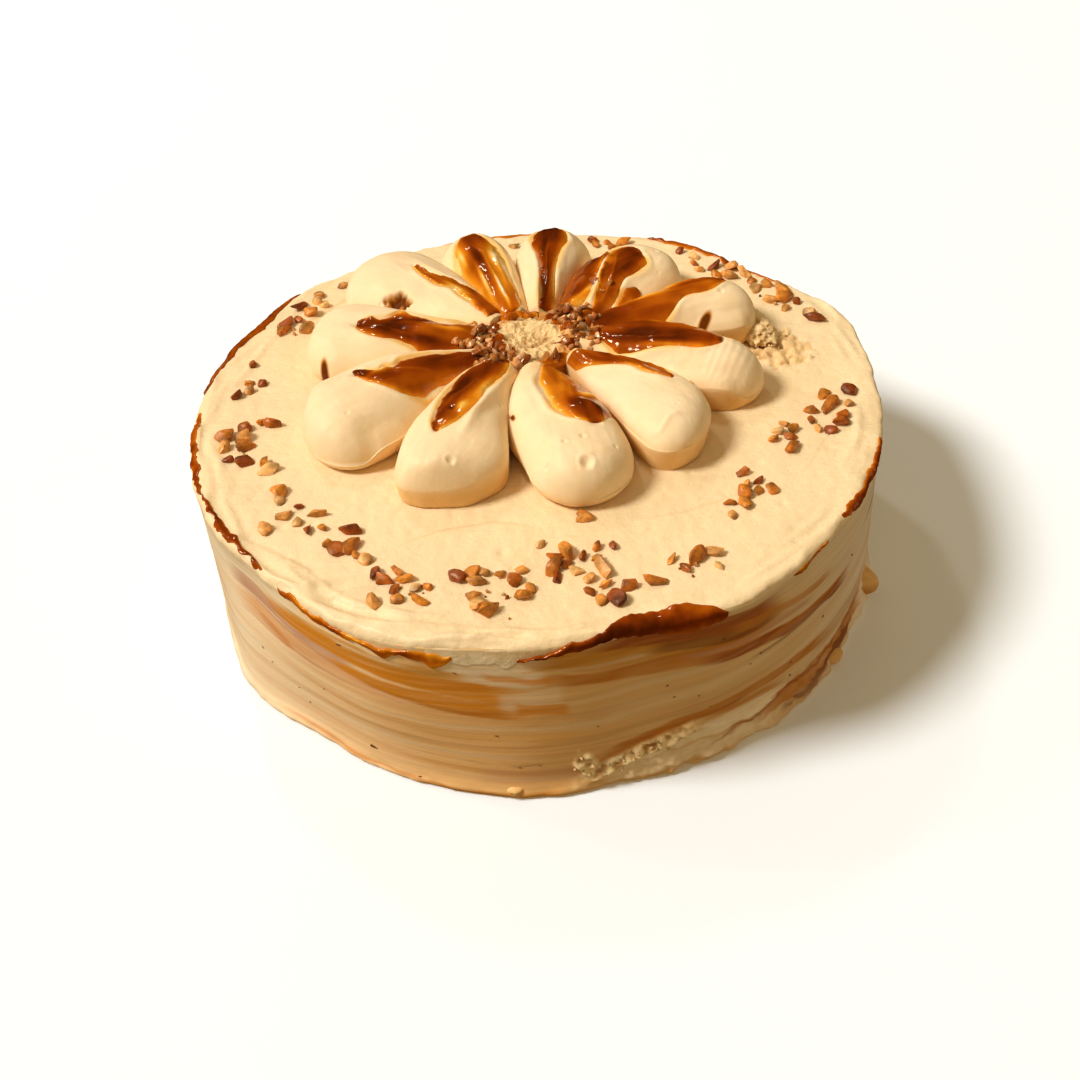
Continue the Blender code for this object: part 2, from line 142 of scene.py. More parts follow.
# Each petal: direction, length from the flower's centre, crown height, how long and how blunt its tip is,
# how far its chin is drawn in, and its sides (s, right x, left x).
PETALS = {
    1: (
        -115, 81.0, 17.0, 8, 3.0, 1.0,
        (
            (17, -11, 3), (25, -15.5, 4), (33, -17.5, 6.5), (44, -18.8, 10.2), (54, -19.8, 14.6),
            (60, -19.4, 16.8), (65, -18.4, 16.4), (70, -17.0, 13.4), (74, -15.8, 10.0), (77.5, -14.6, 5.6),
            (81, -13.4, -1.0),
        ),
    ),
    2: (
        -81, 79.5, 17.0, 14, 2.2, 2.6,
        (
            (17, -9, 6), (25, -13.5, 10), (33, -16.5, 13.5), (44, -17, 16.8), (54, -15.8, 19),
            (62, -14.5, 19.4), (70, -13.5, 18.2), (79, -12, 16),
        ),
    ),
    3: (
        -51, 76.4, 16.6, 11, 2.2, 1.4,
        (
            (17, -0.5, 7), (25, -2, 12), (33, -3.9, 15.5), (42, -5.8, 18), (50, -7.8, 19.4),
            (58, -9.8, 19.6), (66, -11.2, 17.4), (72, -12.2, 14.5), (77, -13.5, 12),
        ),
    ),
    4: (
        -17, 79.5, 16.8, 15, 2.1, 1.6,
        (
            (17, -4, 9), (25, -5.5, 13.5), (33, -8, 17), (42, -11.0, 18.2), (50, -13.4, 16.8),
            (56, -14.2, 14.8), (62, -14.6, 13.0), (70, -14.6, 11.6), (79, -13.5, 10),
        ),
    ),
    5: (
        13, 80.0, 16.4, 14, 2.3, 2.4,
        (
            (17, -4, 5), (28, -5, 7.5), (40, -7.5, 10.6), (51, -11.0, 13.4), (60, -13.4, 15.6),
            (70, -14.8, 16), (80, -15, 14),
        ),
    ),
    6: (
        46, 73.5, 16.6, 15, 2.1, 2.4,
        (
            (17, -9, 6), (25, -13, 10.5), (34, -15.6, 15), (43, -16.6, 18), (54, -17.4, 18.4),
            (64, -16.4, 17.6), (73, -14, 16),
        ),
    ),
    7: (
        80, 72.0, 17.0, 14, 2.2, 2.4,
        ((17, -6, 4), (28, -8, 7.5), (40, -10.4, 10.6), (50, -13, 13), (60, -14.4, 14.2), (72, -13, 13)),
    ),
    8: (
        106, 74.5, 17.0, 14, 2.3, 2.4,
        ((17, -5.5, 6.5), (28, -8, 10), (40, -10, 12.6), (51, -11.4, 14.2), (62, -12, 15.2), (74, -11, 14)),
    ),
    9: (
        137, 85.0, 17.2, 18, 2.1, 2.4,
        (
            (17, -7, 4), (27, -11, 7.5), (37, -15, 11), (48, -18.5, 14), (60, -21, 17), (72, -22, 18.5),
            (84, -21, 17),
        ),
    ),
    10: (
        169, 79.5, 16.8, 17, 2.1, 2.4,
        (
            (17, -8.5, 10), (26, -11.5, 12.8), (36, -13.5, 14), (46, -15.6, 15.4), (56, -18.5, 17.6),
            (66, -20, 19.2), (79, -20, 19),
        ),
    ),
    11: (
        206, 85.0, 17.4, 15, 2.4, 2.0,
        (
            (17, -4, 4), (26, -9, 6.4), (36, -14.5, 10), (46, -18.4, 14), (56, -20.5, 19),
            (66, -20.2, 21.6), (74, -18.2, 21.8), (80, -13.5, 21.4), (85, -10, 20),
        ),
    ),
}
# Each pool of caramel: petal, channel depth, thickness, how brown (0 to 1), and its edges (s, right x, left
# x).
POOLS = {
    "01": (
        1, 3.6, 2.0, 0.56,
        (
            (17, -6.6, -1), (23, -10.4, -0.2), (30, -12.2, -0.4), (38, -12.6, -0.6), (45, -12.2, 0.2),
            (50, -11.4, -0.4), (55, -10.4, -1.6), (59, -9, -3.4), (61.5, -7.6, -5.4),
        ),
    ),
    "02": (
        2, 3.0, 2.3, 0.34,
        (
            (18, 0, 6.4), (24, -2, 9.6), (29, -3.4, 12), (34, -3.2, 13.6), (39, -2.4, 15), (43, -1.9, 16),
            (47, -1.2, 16.2), (51, 0.8, 15), (54, 3.4, 13), (56.5, 7, 11),
        ),
    ),
    "03": (
        3, 1.2, 1.0, 0.46,
        (
            (18, -2, 4), (24, -1.6, 8.6), (28, 1.4, 11.4), (32, 4, 11.8), (36, 6.4, 13.2), (40, 8.2, 14.6),
            (44, 8.6, 15.6), (49, 9.8, 15), (54, 12.2, 13.8),
        ),
    ),
    "04": (
        4, 3.0, 2.6, 0.50,
        (
            (19, 2, 10), (25, 0, 12.6), (30, -3.2, 14.4), (35, -3.8, 15.4), (41, -2.8, 15.6),
            (48, -2.2, 14.6), (52, -2.2, 13.4), (56, -2.6, 11.8), (60, -1.8, 9.4), (64.5, 0.6, 6.4),
        ),
    ),
    "05": (
        5, 2.8, 1.9, 0.48,
        (
            (20, -3, 4), (30, -4.6, 6), (39, -6.4, 7.6), (44, -7, 8.8), (49, -4.8, 10), (54, -0.4, 11.8),
            (58, 1.2, 12.8), (62, 1, 12), (66, 1.6, 10.8), (69.5, 3.2, 9.2), (72.5, 5.2, 7.2),
        ),
    ),
    "06": (
        6, 3.4, 2.5, 0.58,
        (
            (19, -9, -5), (25, -11.4, -6.4), (32, -9.8, -2.8), (38, -7.6, 0.8), (44, -5.4, 4),
            (49, -6, 6.8), (53, -6, 9), (57, -4.6, 10.2), (60, -1.6, 9.4), (62.5, 2, 6.8),
        ),
    ),
    "06_left": (
        6, 3.2, 2.4, 0.66,
        (
            (19, -2, 4), (25, -2.4, 9), (31, 0, 12.8), (37, 2.4, 15), (43, 5, 16.2), (48, 7.8, 16.2),
            (52, 10, 15.6), (55, 11.6, 14.2),
        ),
    ),
    "06_low": (
        6, 1.0, 2.6, 0.38,
        ((27, -16.4, -12.8), (31, -17.2, -11.8), (36, -16.8, -10.2), (40, -15.4, -9), (44, -12.6, -9.4)),
    ),
    "07": (
        7, 3.4, 2.4, 0.72,
        (
            (17, -4.9, -0.4), (28, -4.6, 0.6), (35, -4, 1.4), (41, -3.7, 2.3), (48, -4.1, 4.2),
            (53, -4.6, 6.2), (58, -5.5, 7.3), (62, -4.4, 7), (65, -1.8, 5), (67, 0.4, 3),
        ),
    ),
    "08": (
        8, 3.4, 2.5, 0.38,
        (
            (17, -1, 6.2), (22, -3.2, 7.4), (29, -3.6, 8.2), (34, -3.9, 8.6), (39, -4.2, 10),
            (45, -4.8, 10.9), (50, -5.1, 10.8), (55, -5, 10), (60, -3.8, 8.8), (64, -2, 7.2),
            (67.5, 0.4, 4.4),
        ),
    ),
    "09": (
        9, 1.8, 1.3, 0.36,
        (
            (19, -7, 1), (27, -9, -1), (34, -9.4, -1.8), (40, -7.8, -2.6), (44, -6.8, -1.4),
            (49, -6.2, -1.6), (55, -6.4, -2.4), (60, -6.4, -4.8),
        ),
    ),
    "10": (
        10, 3.2, 2.5, 0.60,
        (
            (19, -6, 12), (24, -5.4, 12.4), (31, -3.9, 12.2), (36, -4.3, 11.2), (40, -4.8, 9.5),
            (43, -5.8, 8.5), (47, -6.8, 7.7), (50, -3.2, 7.8), (55, -1.8, 7), (58, -1, 5.4),
            (60.5, 0.6, 3.4),
        ),
    ),
    "11": (
        11, 3.2, 2.4, 0.54,
        (
            (19, -1, 4.6), (26, -2, 6), (31, -3.4, 6.2), (35, -4.8, 6.8), (39, -5.4, 8.0), (43, -5.6, 9.6),
            (46, -5.6, 10.6), (49, -3.8, 9.8), (52, -4.8, 8.2), (55, -3.6, 5.6), (58, -7, 2),
            (60, -8.7, -0.8), (62, -8.6, -5.4),
        ),
    ),
}
# How high the caramel's rounded edge stands, how far it sinks into the cream, and how thick its film is
# below.
POOL_LIP = 0.85
POOL_SUNK = 0.15
FILM = 0.4
# A pool's grid: rows to the millimetre along it, and columns across it. Its ends are rounded over this
# length.
POOL_ROWS = 3.4
POOL_COLUMNS = 41
POOL_ROUND = 1.6
# How much browner each pool is towards its left side than towards its right.
POOL_LEANS = {"04": -0.22, "01": -0.20, "07": 0.18, "09": -0.08, "11": -0.12, "10": 0.05, "05": -0.06}
# Spots in the pools: s, x, reach along and across, how much browner, how much higher. Far below 0 the cream
# shows.
POOL_SPOTS = {
    "01": (
        (48, -3.4, 2.6, 1.6, -0.55, 0.6), (50, -6.4, 1.2, 1.0, 0.35, -0.4),
        (59, -6.5, 3.0, 3.0, -0.28, 0.0), (36, -1.5, 7.0, 1.8, -0.22, 0.2),
    ),
    "02": (
        # In pool 02 the paler spot at s 37 is painted highlight, over a small real rise.
        (49, 8.5, 4.6, 8.5, 0.34, 1.5), (41.5, 11.5, 1.6, 3.6, -0.9, 1.2), (37, 3.0, 5.0, 2.6, -0.12, 0.4),
        (52, 13.0, 2.5, 2.5, 0.2, 0.4),
    ),
    "03": ((46, 12.0, 8.0, 6.0, -0.16, 0.0), (26, 4.0, 6.0, 5.0, 0.10, 0.5)),
    "04": (
        (48, 4.2, 17, 2.6, 0.26, 0.3), (44, -1.8, 15, 1.1, -0.34, 0.3), (41, 12.6, 4.5, 2.6, -0.30, 0.7),
        (31, 9.0, 8.0, 4.0, -0.12, 0.5),
    ),
    "05": (
        # In pool 05 the paler spots at s 60 and 52 are painted highlight where the caramel glints, over a real
        # rise.
        (42, 5.4, 9.0, 1.0, -0.50, 0.5), (60, 9.8, 6.0, 1.6, -0.34, 0.6), (52, 8.6, 4.0, 1.5, -0.40, 0.5),
        (36, -1.0, 8.0, 5.0, -0.10, 0.3), (66, 5.0, 4.0, 1.6, -0.25, 0.4),
    ),
    "06": ((29, -9.5, 5.0, 2.6, -0.25, 0.2), (49, 4.0, 3.0, 2.2, -0.18, 0.6)),
    "06_left": (
        (23, 1.0, 5.0, 5.0, -0.42, 0.5), (34, 6.0, 3.0, 2.0, -0.22, 0.7), (36, 1.2, 9.0, 0.9, -0.70, 0.4),
    ),
    "07": ((34, -3.6, 12, 1.1, -0.42, 0.3), (56, 0.6, 7.0, 1.4, -0.12, -0.7)),
    "08": (
        (62, -1.0, 5.0, 4.0, 0.34, 0.5), (49, 3.2, 8.0, 1.6, 0.34, 0.4), (33, 0.0, 9.0, 4.0, -0.16, 0.3),
        (47, -1.6, 5.0, 1.2, -0.60, 0.8), (58, 7.0, 5.0, 2.0, -0.15, 0.3), (36, 5.6, 9.0, 0.7, -0.80, 0.4),
        (28, 1.4, 8.0, 0.6, -0.90, 0.3), (41, -3.4, 7.0, 0.7, -0.70, 0.4), (54, 8.6, 6.0, 0.7, -0.50, 0.4),
    ),
    "09": (
        (53, -4.4, 8.0, 1.4, -0.30, 0.3), (30, -6.0, 8.0, 5.0, 0.22, 0.3), (38, -4.0, 5.0, 1.2, -0.40, 0.3),
    ),
    "10": (
        (40, 7.6, 14.0, 1.6, 0.25, 0.3), (30, 0.5, 9.0, 1.2, -0.40, 0.4), (46, -5.6, 3.0, 2.0, -0.34, 1.1),
        (47, -0.8, 3.0, 2.0, 0.22, -0.5), (36, 3.0, 5.0, 2.4, -0.28, 0.2), (55, 5.0, 4.0, 1.4, -0.15, 0.3),
    ),
    "11": (
        (54, -3.0, 3.2, 1.5, -0.95, 0.9), (47, 12.6, 4.0, 1.6, -0.28, 0.2),
        (45, -7.0, 3.0, 1.6, -0.40, 0.4), (38, 1.0, 8.0, 4.0, 0.12, 0.0),
    ),
}
# Creases in the pools: path, half width, height. Their crests are also painted paler, as painted highlight.
POOL_CREASES = {
    "11": ((((60, -6.0), (50, -1.0), (38, 4.5)), 0.55, 0.55),),
    "07": ((((62, 0.8), (48, 0.4), (30, -1.6)), 0.45, 0.45),),
    "04": ((((60, 7.6), (50, 9.0), (42, 9.4)), 0.5, 0.6), (((28, 2.0), (38, 0.8), (50, 2.2)), 0.5, 0.4)),
    "05": ((((66, 7.0), (58, 10.2), (49, 7.4)), 0.5, 0.6),),
    "08": (
        (((60, 4.0), (52, 1.0), (40, 1.8), (26, 1.0)), 0.5, 0.6),
        (((56, -3.0), (44, -2.0), (30, -1.4)), 0.5, 0.5),
    ),
    "06": ((((56, 8.0), (48, 2.0), (38, -3.6), (28, -8.0)), 0.6, 0.5),),
    "10": ((((56, 3.0), (48, 4.2), (34, 8.0)), 0.5, 0.4),),
    "01": ((((54, -9.0), (44, -8.6), (30, -6.0)), 0.6, 0.4),),
    "02": ((((24, 4.0), (34, 6.0), (44, 4.6)), 0.5, 0.5),),
}
# Swells in the cream of each petal, as noise: strength, size of its boxes, seed.
PETAL_RELIEF = ((0.60, (22, 11, 9), 300), (0.26, (9, 4.5, 9), 320))
# Small marks in the cream of each petal: pits (s, x, radius, depth) and ridges (path of s and x, half
# width, height).
PITS = {
    1: ((73, 3.8, 1.3, 0.8), (63, 6.0, 0.6, 0.3), (40, 5.4, 1.0, 0.7)),
    2: (
        (64, -2.5, 0.9, 0.7), (63, 3.5, 1.0, 0.8), (70, -9.4, 0.8, 0.8), (74, 2.2, 1.9, 1.4),
        (68, 12.6, 0.7, 0.5), (39, -15.0, 1.1, 0.9), (43, -13.0, 0.9, 0.8), (50, -12.6, 0.8, 0.7),
    ),
    3: ((66, 3.0, 0.7, 0.3), (50, -2.0, 0.6, 0.3)),
    4: ((68, -13.5, 1.1, 0.8), (52, -4.0, 0.6, 0.3), (60, -6.0, 0.5, 0.3)),
    5: ((68, -1.0, 1.1, 0.5), (72, 5.5, 0.9, 0.5)),
    6: ((66, -2.0, 1.0, 0.5), (56, -11.0, 0.6, 0.3)),
    8: ((50, 12.5, 0.6, 0.3),),
    9: ((62, 4.0, 0.5, 0.2), (70, -4.0, 0.7, 0.2)),
    10: ((68.5, 19.0, 2.0, 1.6), (66, 4.0, 0.5, 0.3), (62, 9.0, 0.5, 0.3)),
    11: ((72, 10.0, 0.9, 0.4), (60, 4.0, 0.5, 0.3), (76, -2.0, 0.6, 0.3)),
}
RIDGES = {
    1: ((((63, 2.6), (56, 2.4), (48, 2.2), (40, 2.6), (30, 2.2), (22, 2.0)), 1.7, 1.6),),
    2: ((((56, 12.4), (50, 9.4), (44, 5.6)), 2.2, 0.6), (((22, -5.0), (34, -8.6), (46, -9.4)), 3.0, 0.6)),
    3: ((((73, 6.0), (69, 1.0), (68, -2.5), (69, -7.6), (66, -10.4)), 1.0, 0.5),),
    4: ((((58, -3.6), (48, -3.4), (38, -5.0), (30, -6.6)), 1.8, 0.8),),
    6: ((((24, -4.8), (33, -1.6), (41, 3.0), (50, 8.0)), 1.1, 1.5),),
    8: ((((64, -6.4), (52, -8.0), (36, -6.8)), 1.6, 0.8),),
    10: ((((62, 8.0), (50, 11.4), (38, 13.0)), 2.2, 0.8),),
    11: ((((60, -13.0), (48, -11.4), (38, -9.6)), 2.0, 0.7),),
}
# Rings that the nozzle left across a petal: from s, to s, spacing, height.
NOZZLE_RINGS = {
    4: (58, 79, 2.6, 0.07), 9: (30, 56, 1.5, 0.06), 11: (62, 82, 3.4, 0.025), 2: (64, 80, 4.1, 0.04),
    10: (62, 76, 3.1, 0.03),
}
# Brown marks in the cream: s, x, how far their length is turned from the petal's, half length, half width.
BROWN_MARKS = {
    5: ((58.5, -10.6, 40.0, 4.4, 1.9),), 10: ((69.0, 18.6, 100.0, 4.2, 1.8),),
    2: ((41.0, -14.6, 10.0, 2.6, 0.7),),
}
# A torn hole in one petal: s, x, how far its length is turned from the petal's, half length, half width,
# depth.
TORN_HOLE = (53.0, 11.8, 33.0, 6.0, 3.6, 3.0)
TORN_HOLE_PETAL = 9

# The heap of crumbs in the middle of the flower: its profile (radius, height), its reach, and its grid.
HEAP_PROFILE = ((0.0, 12.6), (6.5, 12.8), (11.0, 13.0), (14.5, 12.6), (17.1, 11.4), (16.8, 0.0))
HEAP_REACH = 16.9
HEAP_FOOT = 16.0
HEAP_ROWS = 80
HEAP_COLUMNS = 240
# Caramel round the heap's edge: from angle, to angle, how brown, inner radius. All of it reaches out to one
# radius.
HEAP_CARAMEL = (
    (140, 240, 0.72, 10.8), (-88, -42, 0.46, 14.4),
    (-34, 66, 0.70, 10.8), (78, 130, 0.46, 14.2),
)
HEAP_CARAMEL_REACH = 17.6

# Chopped nuts on the top: (angle, distance from the cake's centre, how many, how far they scatter round and
# out).
NUT_CLUSTERS = (
    (-178, 90, 2, 2, 3),
    (-174, 99, 5, 5, 5),
    (-167, 100, 2, 2, 3),
    (-164, 90, 2, 4, 2),
    (-153, 92, 2, 4, 4),
    (-146, 93, 3, 5, 4),
    (-146, 103, 1, 1, 1),
    (-141, 91, 4, 4, 5),
    (-133, 88, 4, 5, 5),
    (-126, 94, 2, 4, 3),
    (-119, 96, 5, 5, 4),
    (-113, 99, 4, 4, 4),
    (-118, 107, 1, 1, 1),
    (-104, 86, 4, 5, 5),
    (-101, 99, 3, 5, 4),
    (-97, 88, 3, 4, 4),
    (-93, 95, 2, 3, 3),
    (-91, 74, 1, 2, 2),
    (-86, 84, 7, 6, 7),
    (-81, 85, 3, 4, 4),
    (-80, 98, 5, 8, 4),
    (-78, 65, 1, 1, 1),
    (-77, 79, 2, 3, 2),
    (-71, 98, 1, 1, 1),
    (-66, 97, 2, 3, 5),
    (-60, 98, 3, 4, 4),
    (-46, 84, 4, 5, 5),
    (-40, 87, 4, 4, 4),
    (-37, 80, 1, 1, 1),
    (-25, 88, 1, 1, 2),
    (-19, 86, 5, 6, 4),
    (-14, 97, 7, 8, 6),
    (-7, 101, 4, 5, 5),
    (20, 108, 2, 3, 1),
    (27, 104, 6, 6, 4),
    (37, 104, 4, 6, 3),
    (45, 102, 5, 6, 5),
    (53, 103, 3, 5, 3),
    (72, 101, 5, 8, 3),
    (92, 100, 1, 2, 2),
    (115, 102, 1, 2, 2),
    (131, 107, 1, 2, 2),
    (139, 104, 5, 6, 4),
    (147, 101, 5, 6, 5),
    (162, 102, 2, 2, 2),
    (170, 98, 4, 5, 5),
)
NUT_SIZES = (4.9, 10.0)
NUT_SEED = 17
# The share of a nut that is sunk, how clear nuts stay of petals and of each other, how far out they lie,
# and how many places are tried for each.
NUT_SUNK = 0.22
NUT_CLEAR = 2.2
NUT_APART = 3.9
NUT_OUTERMOST = 109.5
NUT_TRIES = 24
# Nuts that stuck to a petal: petal, s, x.
NUTS_ON_PETALS = ((4, 57.5, -14.0), (2, 80.5, -1.4))
STUCK_SIZES = (4.5, 5.5)
# Chopped bits come in a few shapes: how many shapes, corners of each, and how much of their edges is worn
# off.
NUT_SHAPES = (20, 9, 0.15)
CRUMB_SHAPES = (8, 8, 0.12)
SHARP_ANGLE = 30
# Sticky nuts round the heap: angle and distance from the flower's centre, how many, how far they scatter.
STICKY_CLUSTERS = (
    (226, 15, 9, 4),
    (212, 19, 14, 5),
    (197, 16, 12, 4),
    (188, 22, 12, 5),
    (172, 16, 9, 4),
    (158, 19, 6, 4),
    (-24, 16, 8, 4),
    (-10, 20, 10, 5),
    (2, 15, 10, 4),
    (12, 20, 14, 5),
    (26, 16, 12, 4),
    (38, 20, 12, 5),
    (54, 16, 7, 4),
    (-104, 14, 5, 3),
    (-68, 14, 5, 4),
    (44, 34, 3, 4),
)
STICKY_SIZES = (3.0, 5.8)
STICKY_SEED = 5
STICKY_SUNK = 0.38

# Columns across the rim's caramel, and the degrees over which its ends are rounded.
RIM_COLUMNS = 25
RIM_ROUND = 1.6
# Caramel on the rim: thickness, how brown, and its edges (angle, inner v, outer v). v runs over the rim
# from the middle of the round: below 0 on the top, above 0 down the wall.
RIM_CARAMEL = {
    "left": (
        0.4, 0.62,
        (
            (-184, -0.8, 0.2), (-178, -1.6, 1.0), (-173, -2.0, 1.4), (-168, -2.0, 0.8), (-164, -2.2, 0.0),
            (-160, -2.0, -0.4), (-155, -2.6, -0.8), (-150, -3.0, -0.8), (-146, -2.6, -0.8),
            (-142, -1.8, 0.0), (-138, -1.0, -0.2),
        ),
    ),
    "front_left": (
        0.6, 0.40,
        (
            (-134, 0.2, 1.4), (-131, 0.0, 2.8), (-128, 1.0, 3.8), (-124, 1.5, 3.7), (-120, 2.2, 4.4),
            (-117, 3.0, 5.8), (-114, 3.6, 6.8), (-111, 3.4, 5.4), (-108.5, 3.2, 5.6), (-106.5, 3.4, 9.4),
            (-105.4, 3.6, 8.0), (-104, 3.8, 5.0),
        ),
    ),
    "thick": (
        0.9, 0.72,
        (
            (-95, 5.8, 6.9), (-92, 4.0, 5.6), (-89, 2.0, 4.2), (-86, 0.4, 3.2), (-83, -1.0, 2.8),
            (-80, -3.2, 3.6), (-77, -4.2, 4.6), (-74, -4.8, 5.6), (-71, -5.6, 6.8), (-68.5, -5.0, 7.0),
            (-66.5, -2.8, 6.6), (-65, 0.0, 5.6), (-64, 2.0, 4.2),
        ),
    ),
    "right": (0.3, 0.40, ((-52, 1.8, 2.4), (-49, 1.4, 3.4), (-46, 0.9, 3.0), (-43, 0.8, 1.6))),
    "far_right": (
        0.6, 0.60,
        (
            (-38, -0.8, 0.4), (-35.5, -2.0, 1.2), (-33, -1.2, 2.6), (-29, 0.0, 2.2), (-25, -0.4, 2.4),
            (-21, -0.8, 1.8), (-17, -0.8, 0.2),
        ),
    ),
    "back_right": (
        0.5, 0.62,
        (
            (34, -0.6, 0.4), (41, -1.8, 1.2), (48, -2.4, 1.4), (53, -2.6, 0.8), (59, -3.0, 0.0),
            (64, -1.6, -0.6),
        ),
    ),
    "back": (
        0.6, 0.50,
        (
            (82, 0.6, 1.8), (88, 0.0, 3.4), (94, -1.6, 4.2), (101, -1.0, 5.2), (108, 0.8, 4.0),
            (116, 1.6, 2.8),
        ),
    ),
    "back_left": (
        0.7, 0.68,
        (
            (137, -0.4, 0.8), (144, -2.4, 2.2), (150, -3.0, 3.0), (157, -2.4, 3.0), (162, -1.6, 2.6),
            (167, -1.2, 2.0), (171, -0.4, 1.0),
        ),
    ),
}

# Marks in the iced top, (angle, distance) from the cake's centre: raised folds (path, half width, height)
# and steps where one stroke of icing ends on another (path, drop, reach).
TOP_FOLDS = (
    (((-136, 114), (-131, 112), (-128, 106), (-125, 101)), 1.6, 0.9),
    (((-129, 114), (-126, 110), (-122, 104), (-119, 101)), 1.3, 0.7),
    (((-116, 108), (-111, 107), (-106, 106)), 1.8, 0.8),
    (((-106, 114), (-101, 112.5), (-98, 110.5), (-95, 109.5)), 1.5, 0.9),
    (((-120, 113), (-114, 113), (-108, 111)), 2.2, 0.6),
    (((-92, 112), (-87, 110), (-82, 108)), 2.0, 0.6),
    (((-176, 110), (-168, 106), (-160, 107)), 2.5, 0.5),
    (((-62, 112), (-52, 111), (-44, 112)), 2.0, 0.5),
    (((-28, 106), (-18, 108), (-8, 107)), 2.4, 0.4),
    (((60, 98), (72, 101), (85, 99)), 2.6, 0.5),
    (((100, 99), (112, 101), (122, 103)), 2.4, 0.5),
    (((150, 106), (160, 104), (170, 106)), 2.2, 0.4),
)
TOP_STEPS = (
    (((-124, 89), (-121, 78), (-116, 70), (-104, 63), (-91, 66)), 0.55, 7.0),
    (((-68, 71), (-56, 76), (-47, 80.5), (-34, 91)), 0.30, 7.0),
    (((-33, 96), (-22, 97), (-10, 104)), 0.22, 6.0),
    (((-150, 112), (-141, 106), (-133, 104), (-126, 107)), 0.5, 4.0),
    (((-112, 111), (-105, 108.5), (-97, 108), (-88, 109.5), (-80, 107)), 0.4, 4.0),
    (((52, 98), (66, 96), (80, 98)), 0.3, 6.0),
    (((120, 100), (136, 98), (150, 101)), 0.3, 6.0),
)
# A torn patch of rough crumb at the tip of petal 5: angle, distance, half length and half width.
TORN_PATCH = (12.0, 88.5, 10.5, 10.5)
# A clump of crumb at its edge, against the petal: its middle (s, x, z) and its half sizes.
TORN_CLUMP = (78.6, -7.5, 2.2, 6.0, 11.5, 4.0)
TORN_CLUMP_PETAL = 5
# Small pits strewn over the top: how many, their seed, and how far out they lie.
TOP_PITS = 70
TOP_PIT_SEED = 8
TOP_PIT_REACH = 112

# Colours, linear RGB.
TOP_ICING = (0.91, 0.695, 0.40)
TOP_ICING_WARM = (0.87, 0.62, 0.31)
# The wall's colour at each angle; the pale far right is partly painted sheen, for a grazing reflection.
WALL_BY_ANGLE = (
    (-180, (0.93, 0.73, 0.45)),
    (-150, (0.94, 0.74, 0.48)),
    (-132, (0.95, 0.67, 0.37)),
    (-120, (0.97, 0.63, 0.31)),
    (-108, (0.90, 0.53, 0.21)),
    (-92, (0.79, 0.45, 0.16)),
    (-68, (0.77, 0.49, 0.21)),
    (-50, (0.78, 0.54, 0.28)),
    (-36, (0.84, 0.65, 0.44)),
    (-25, (0.94, 0.78, 0.58)),
    (20, (0.84, 0.59, 0.33)),
    (90, (0.82, 0.50, 0.21)),
    (140, (0.88, 0.60, 0.30)),
    (180, (0.92, 0.70, 0.40)),
)
PALE = (0.92, 0.72, 0.45)
GREY_BEIGE = (0.84, 0.64, 0.40)
TAN = (0.60, 0.31, 0.10)
PEACH = (0.80, 0.43, 0.19)
MAUVE = (0.58, 0.29, 0.17)
OCHRE = (0.72, 0.26, 0.014)
BROWN_OCHRE = (0.58, 0.21, 0.020)
OLIVE_OCHRE = (0.62, 0.27, 0.025)
ORANGE = (0.70, 0.22, 0.02)
RED_BROWN = (0.40, 0.105, 0.012)
BROWN = (0.26, 0.075, 0.010)
DARK_BROWN = (0.09, 0.03, 0.012)
DEEP_BROWN = (0.13, 0.030, 0.002)
CREAM_PALE = (0.92, 0.705, 0.43)
CREAM_WARM = (0.90, 0.67, 0.37)
# Deep cream; also painted under the petals' widest lines as shade.
CREAM_DEEP = (0.82, 0.49, 0.17)
# Painted shade under the widest line of a petal: how far the cream's colour is deepened there.
CHIN_PAINTED_SHADES = {1: 0.85, 3: 0.8, 4: 1.0, 5: 0.9, 11: 0.45}
USUAL_CHIN_PAINTED_SHADE = 0.45
# Caramel from thin and amber to thick and nearly black.
CARAMEL_STOPS = (
    (0.86, 0.46, 0.07), (0.74, 0.25, 0.010), (0.46, 0.10, 0.003), (0.24, 0.036, 0.0015),
    (0.09, 0.013, 0.001),
)
NUT_TINTS = (
    (0.78, 0.31, 0.055), (0.62, 0.19, 0.022), (0.86, 0.46, 0.15), (0.50, 0.125, 0.012),
    (0.34, 0.070, 0.010), (0.80, 0.36, 0.09), (0.74, 0.26, 0.03),
)
STICKY_TINTS = (
    (0.66, 0.28, 0.095), (0.50, 0.165, 0.035), (0.76, 0.40, 0.17), (0.36, 0.095, 0.018), (0.62, 0.24, 0.05),
)
CRUMB_PALE = (0.94, 0.64, 0.28)
CRUMB_BROWN = (0.46, 0.20, 0.04)
CRUMB_TORN = (0.97, 0.70, 0.34)
CRUMB_LIT = (0.98, 0.74, 0.38)
# Pale cream of the torn ledge; on the hanging tongue it is painted light.
LEDGE_PALE = (0.98, 0.80, 0.55)

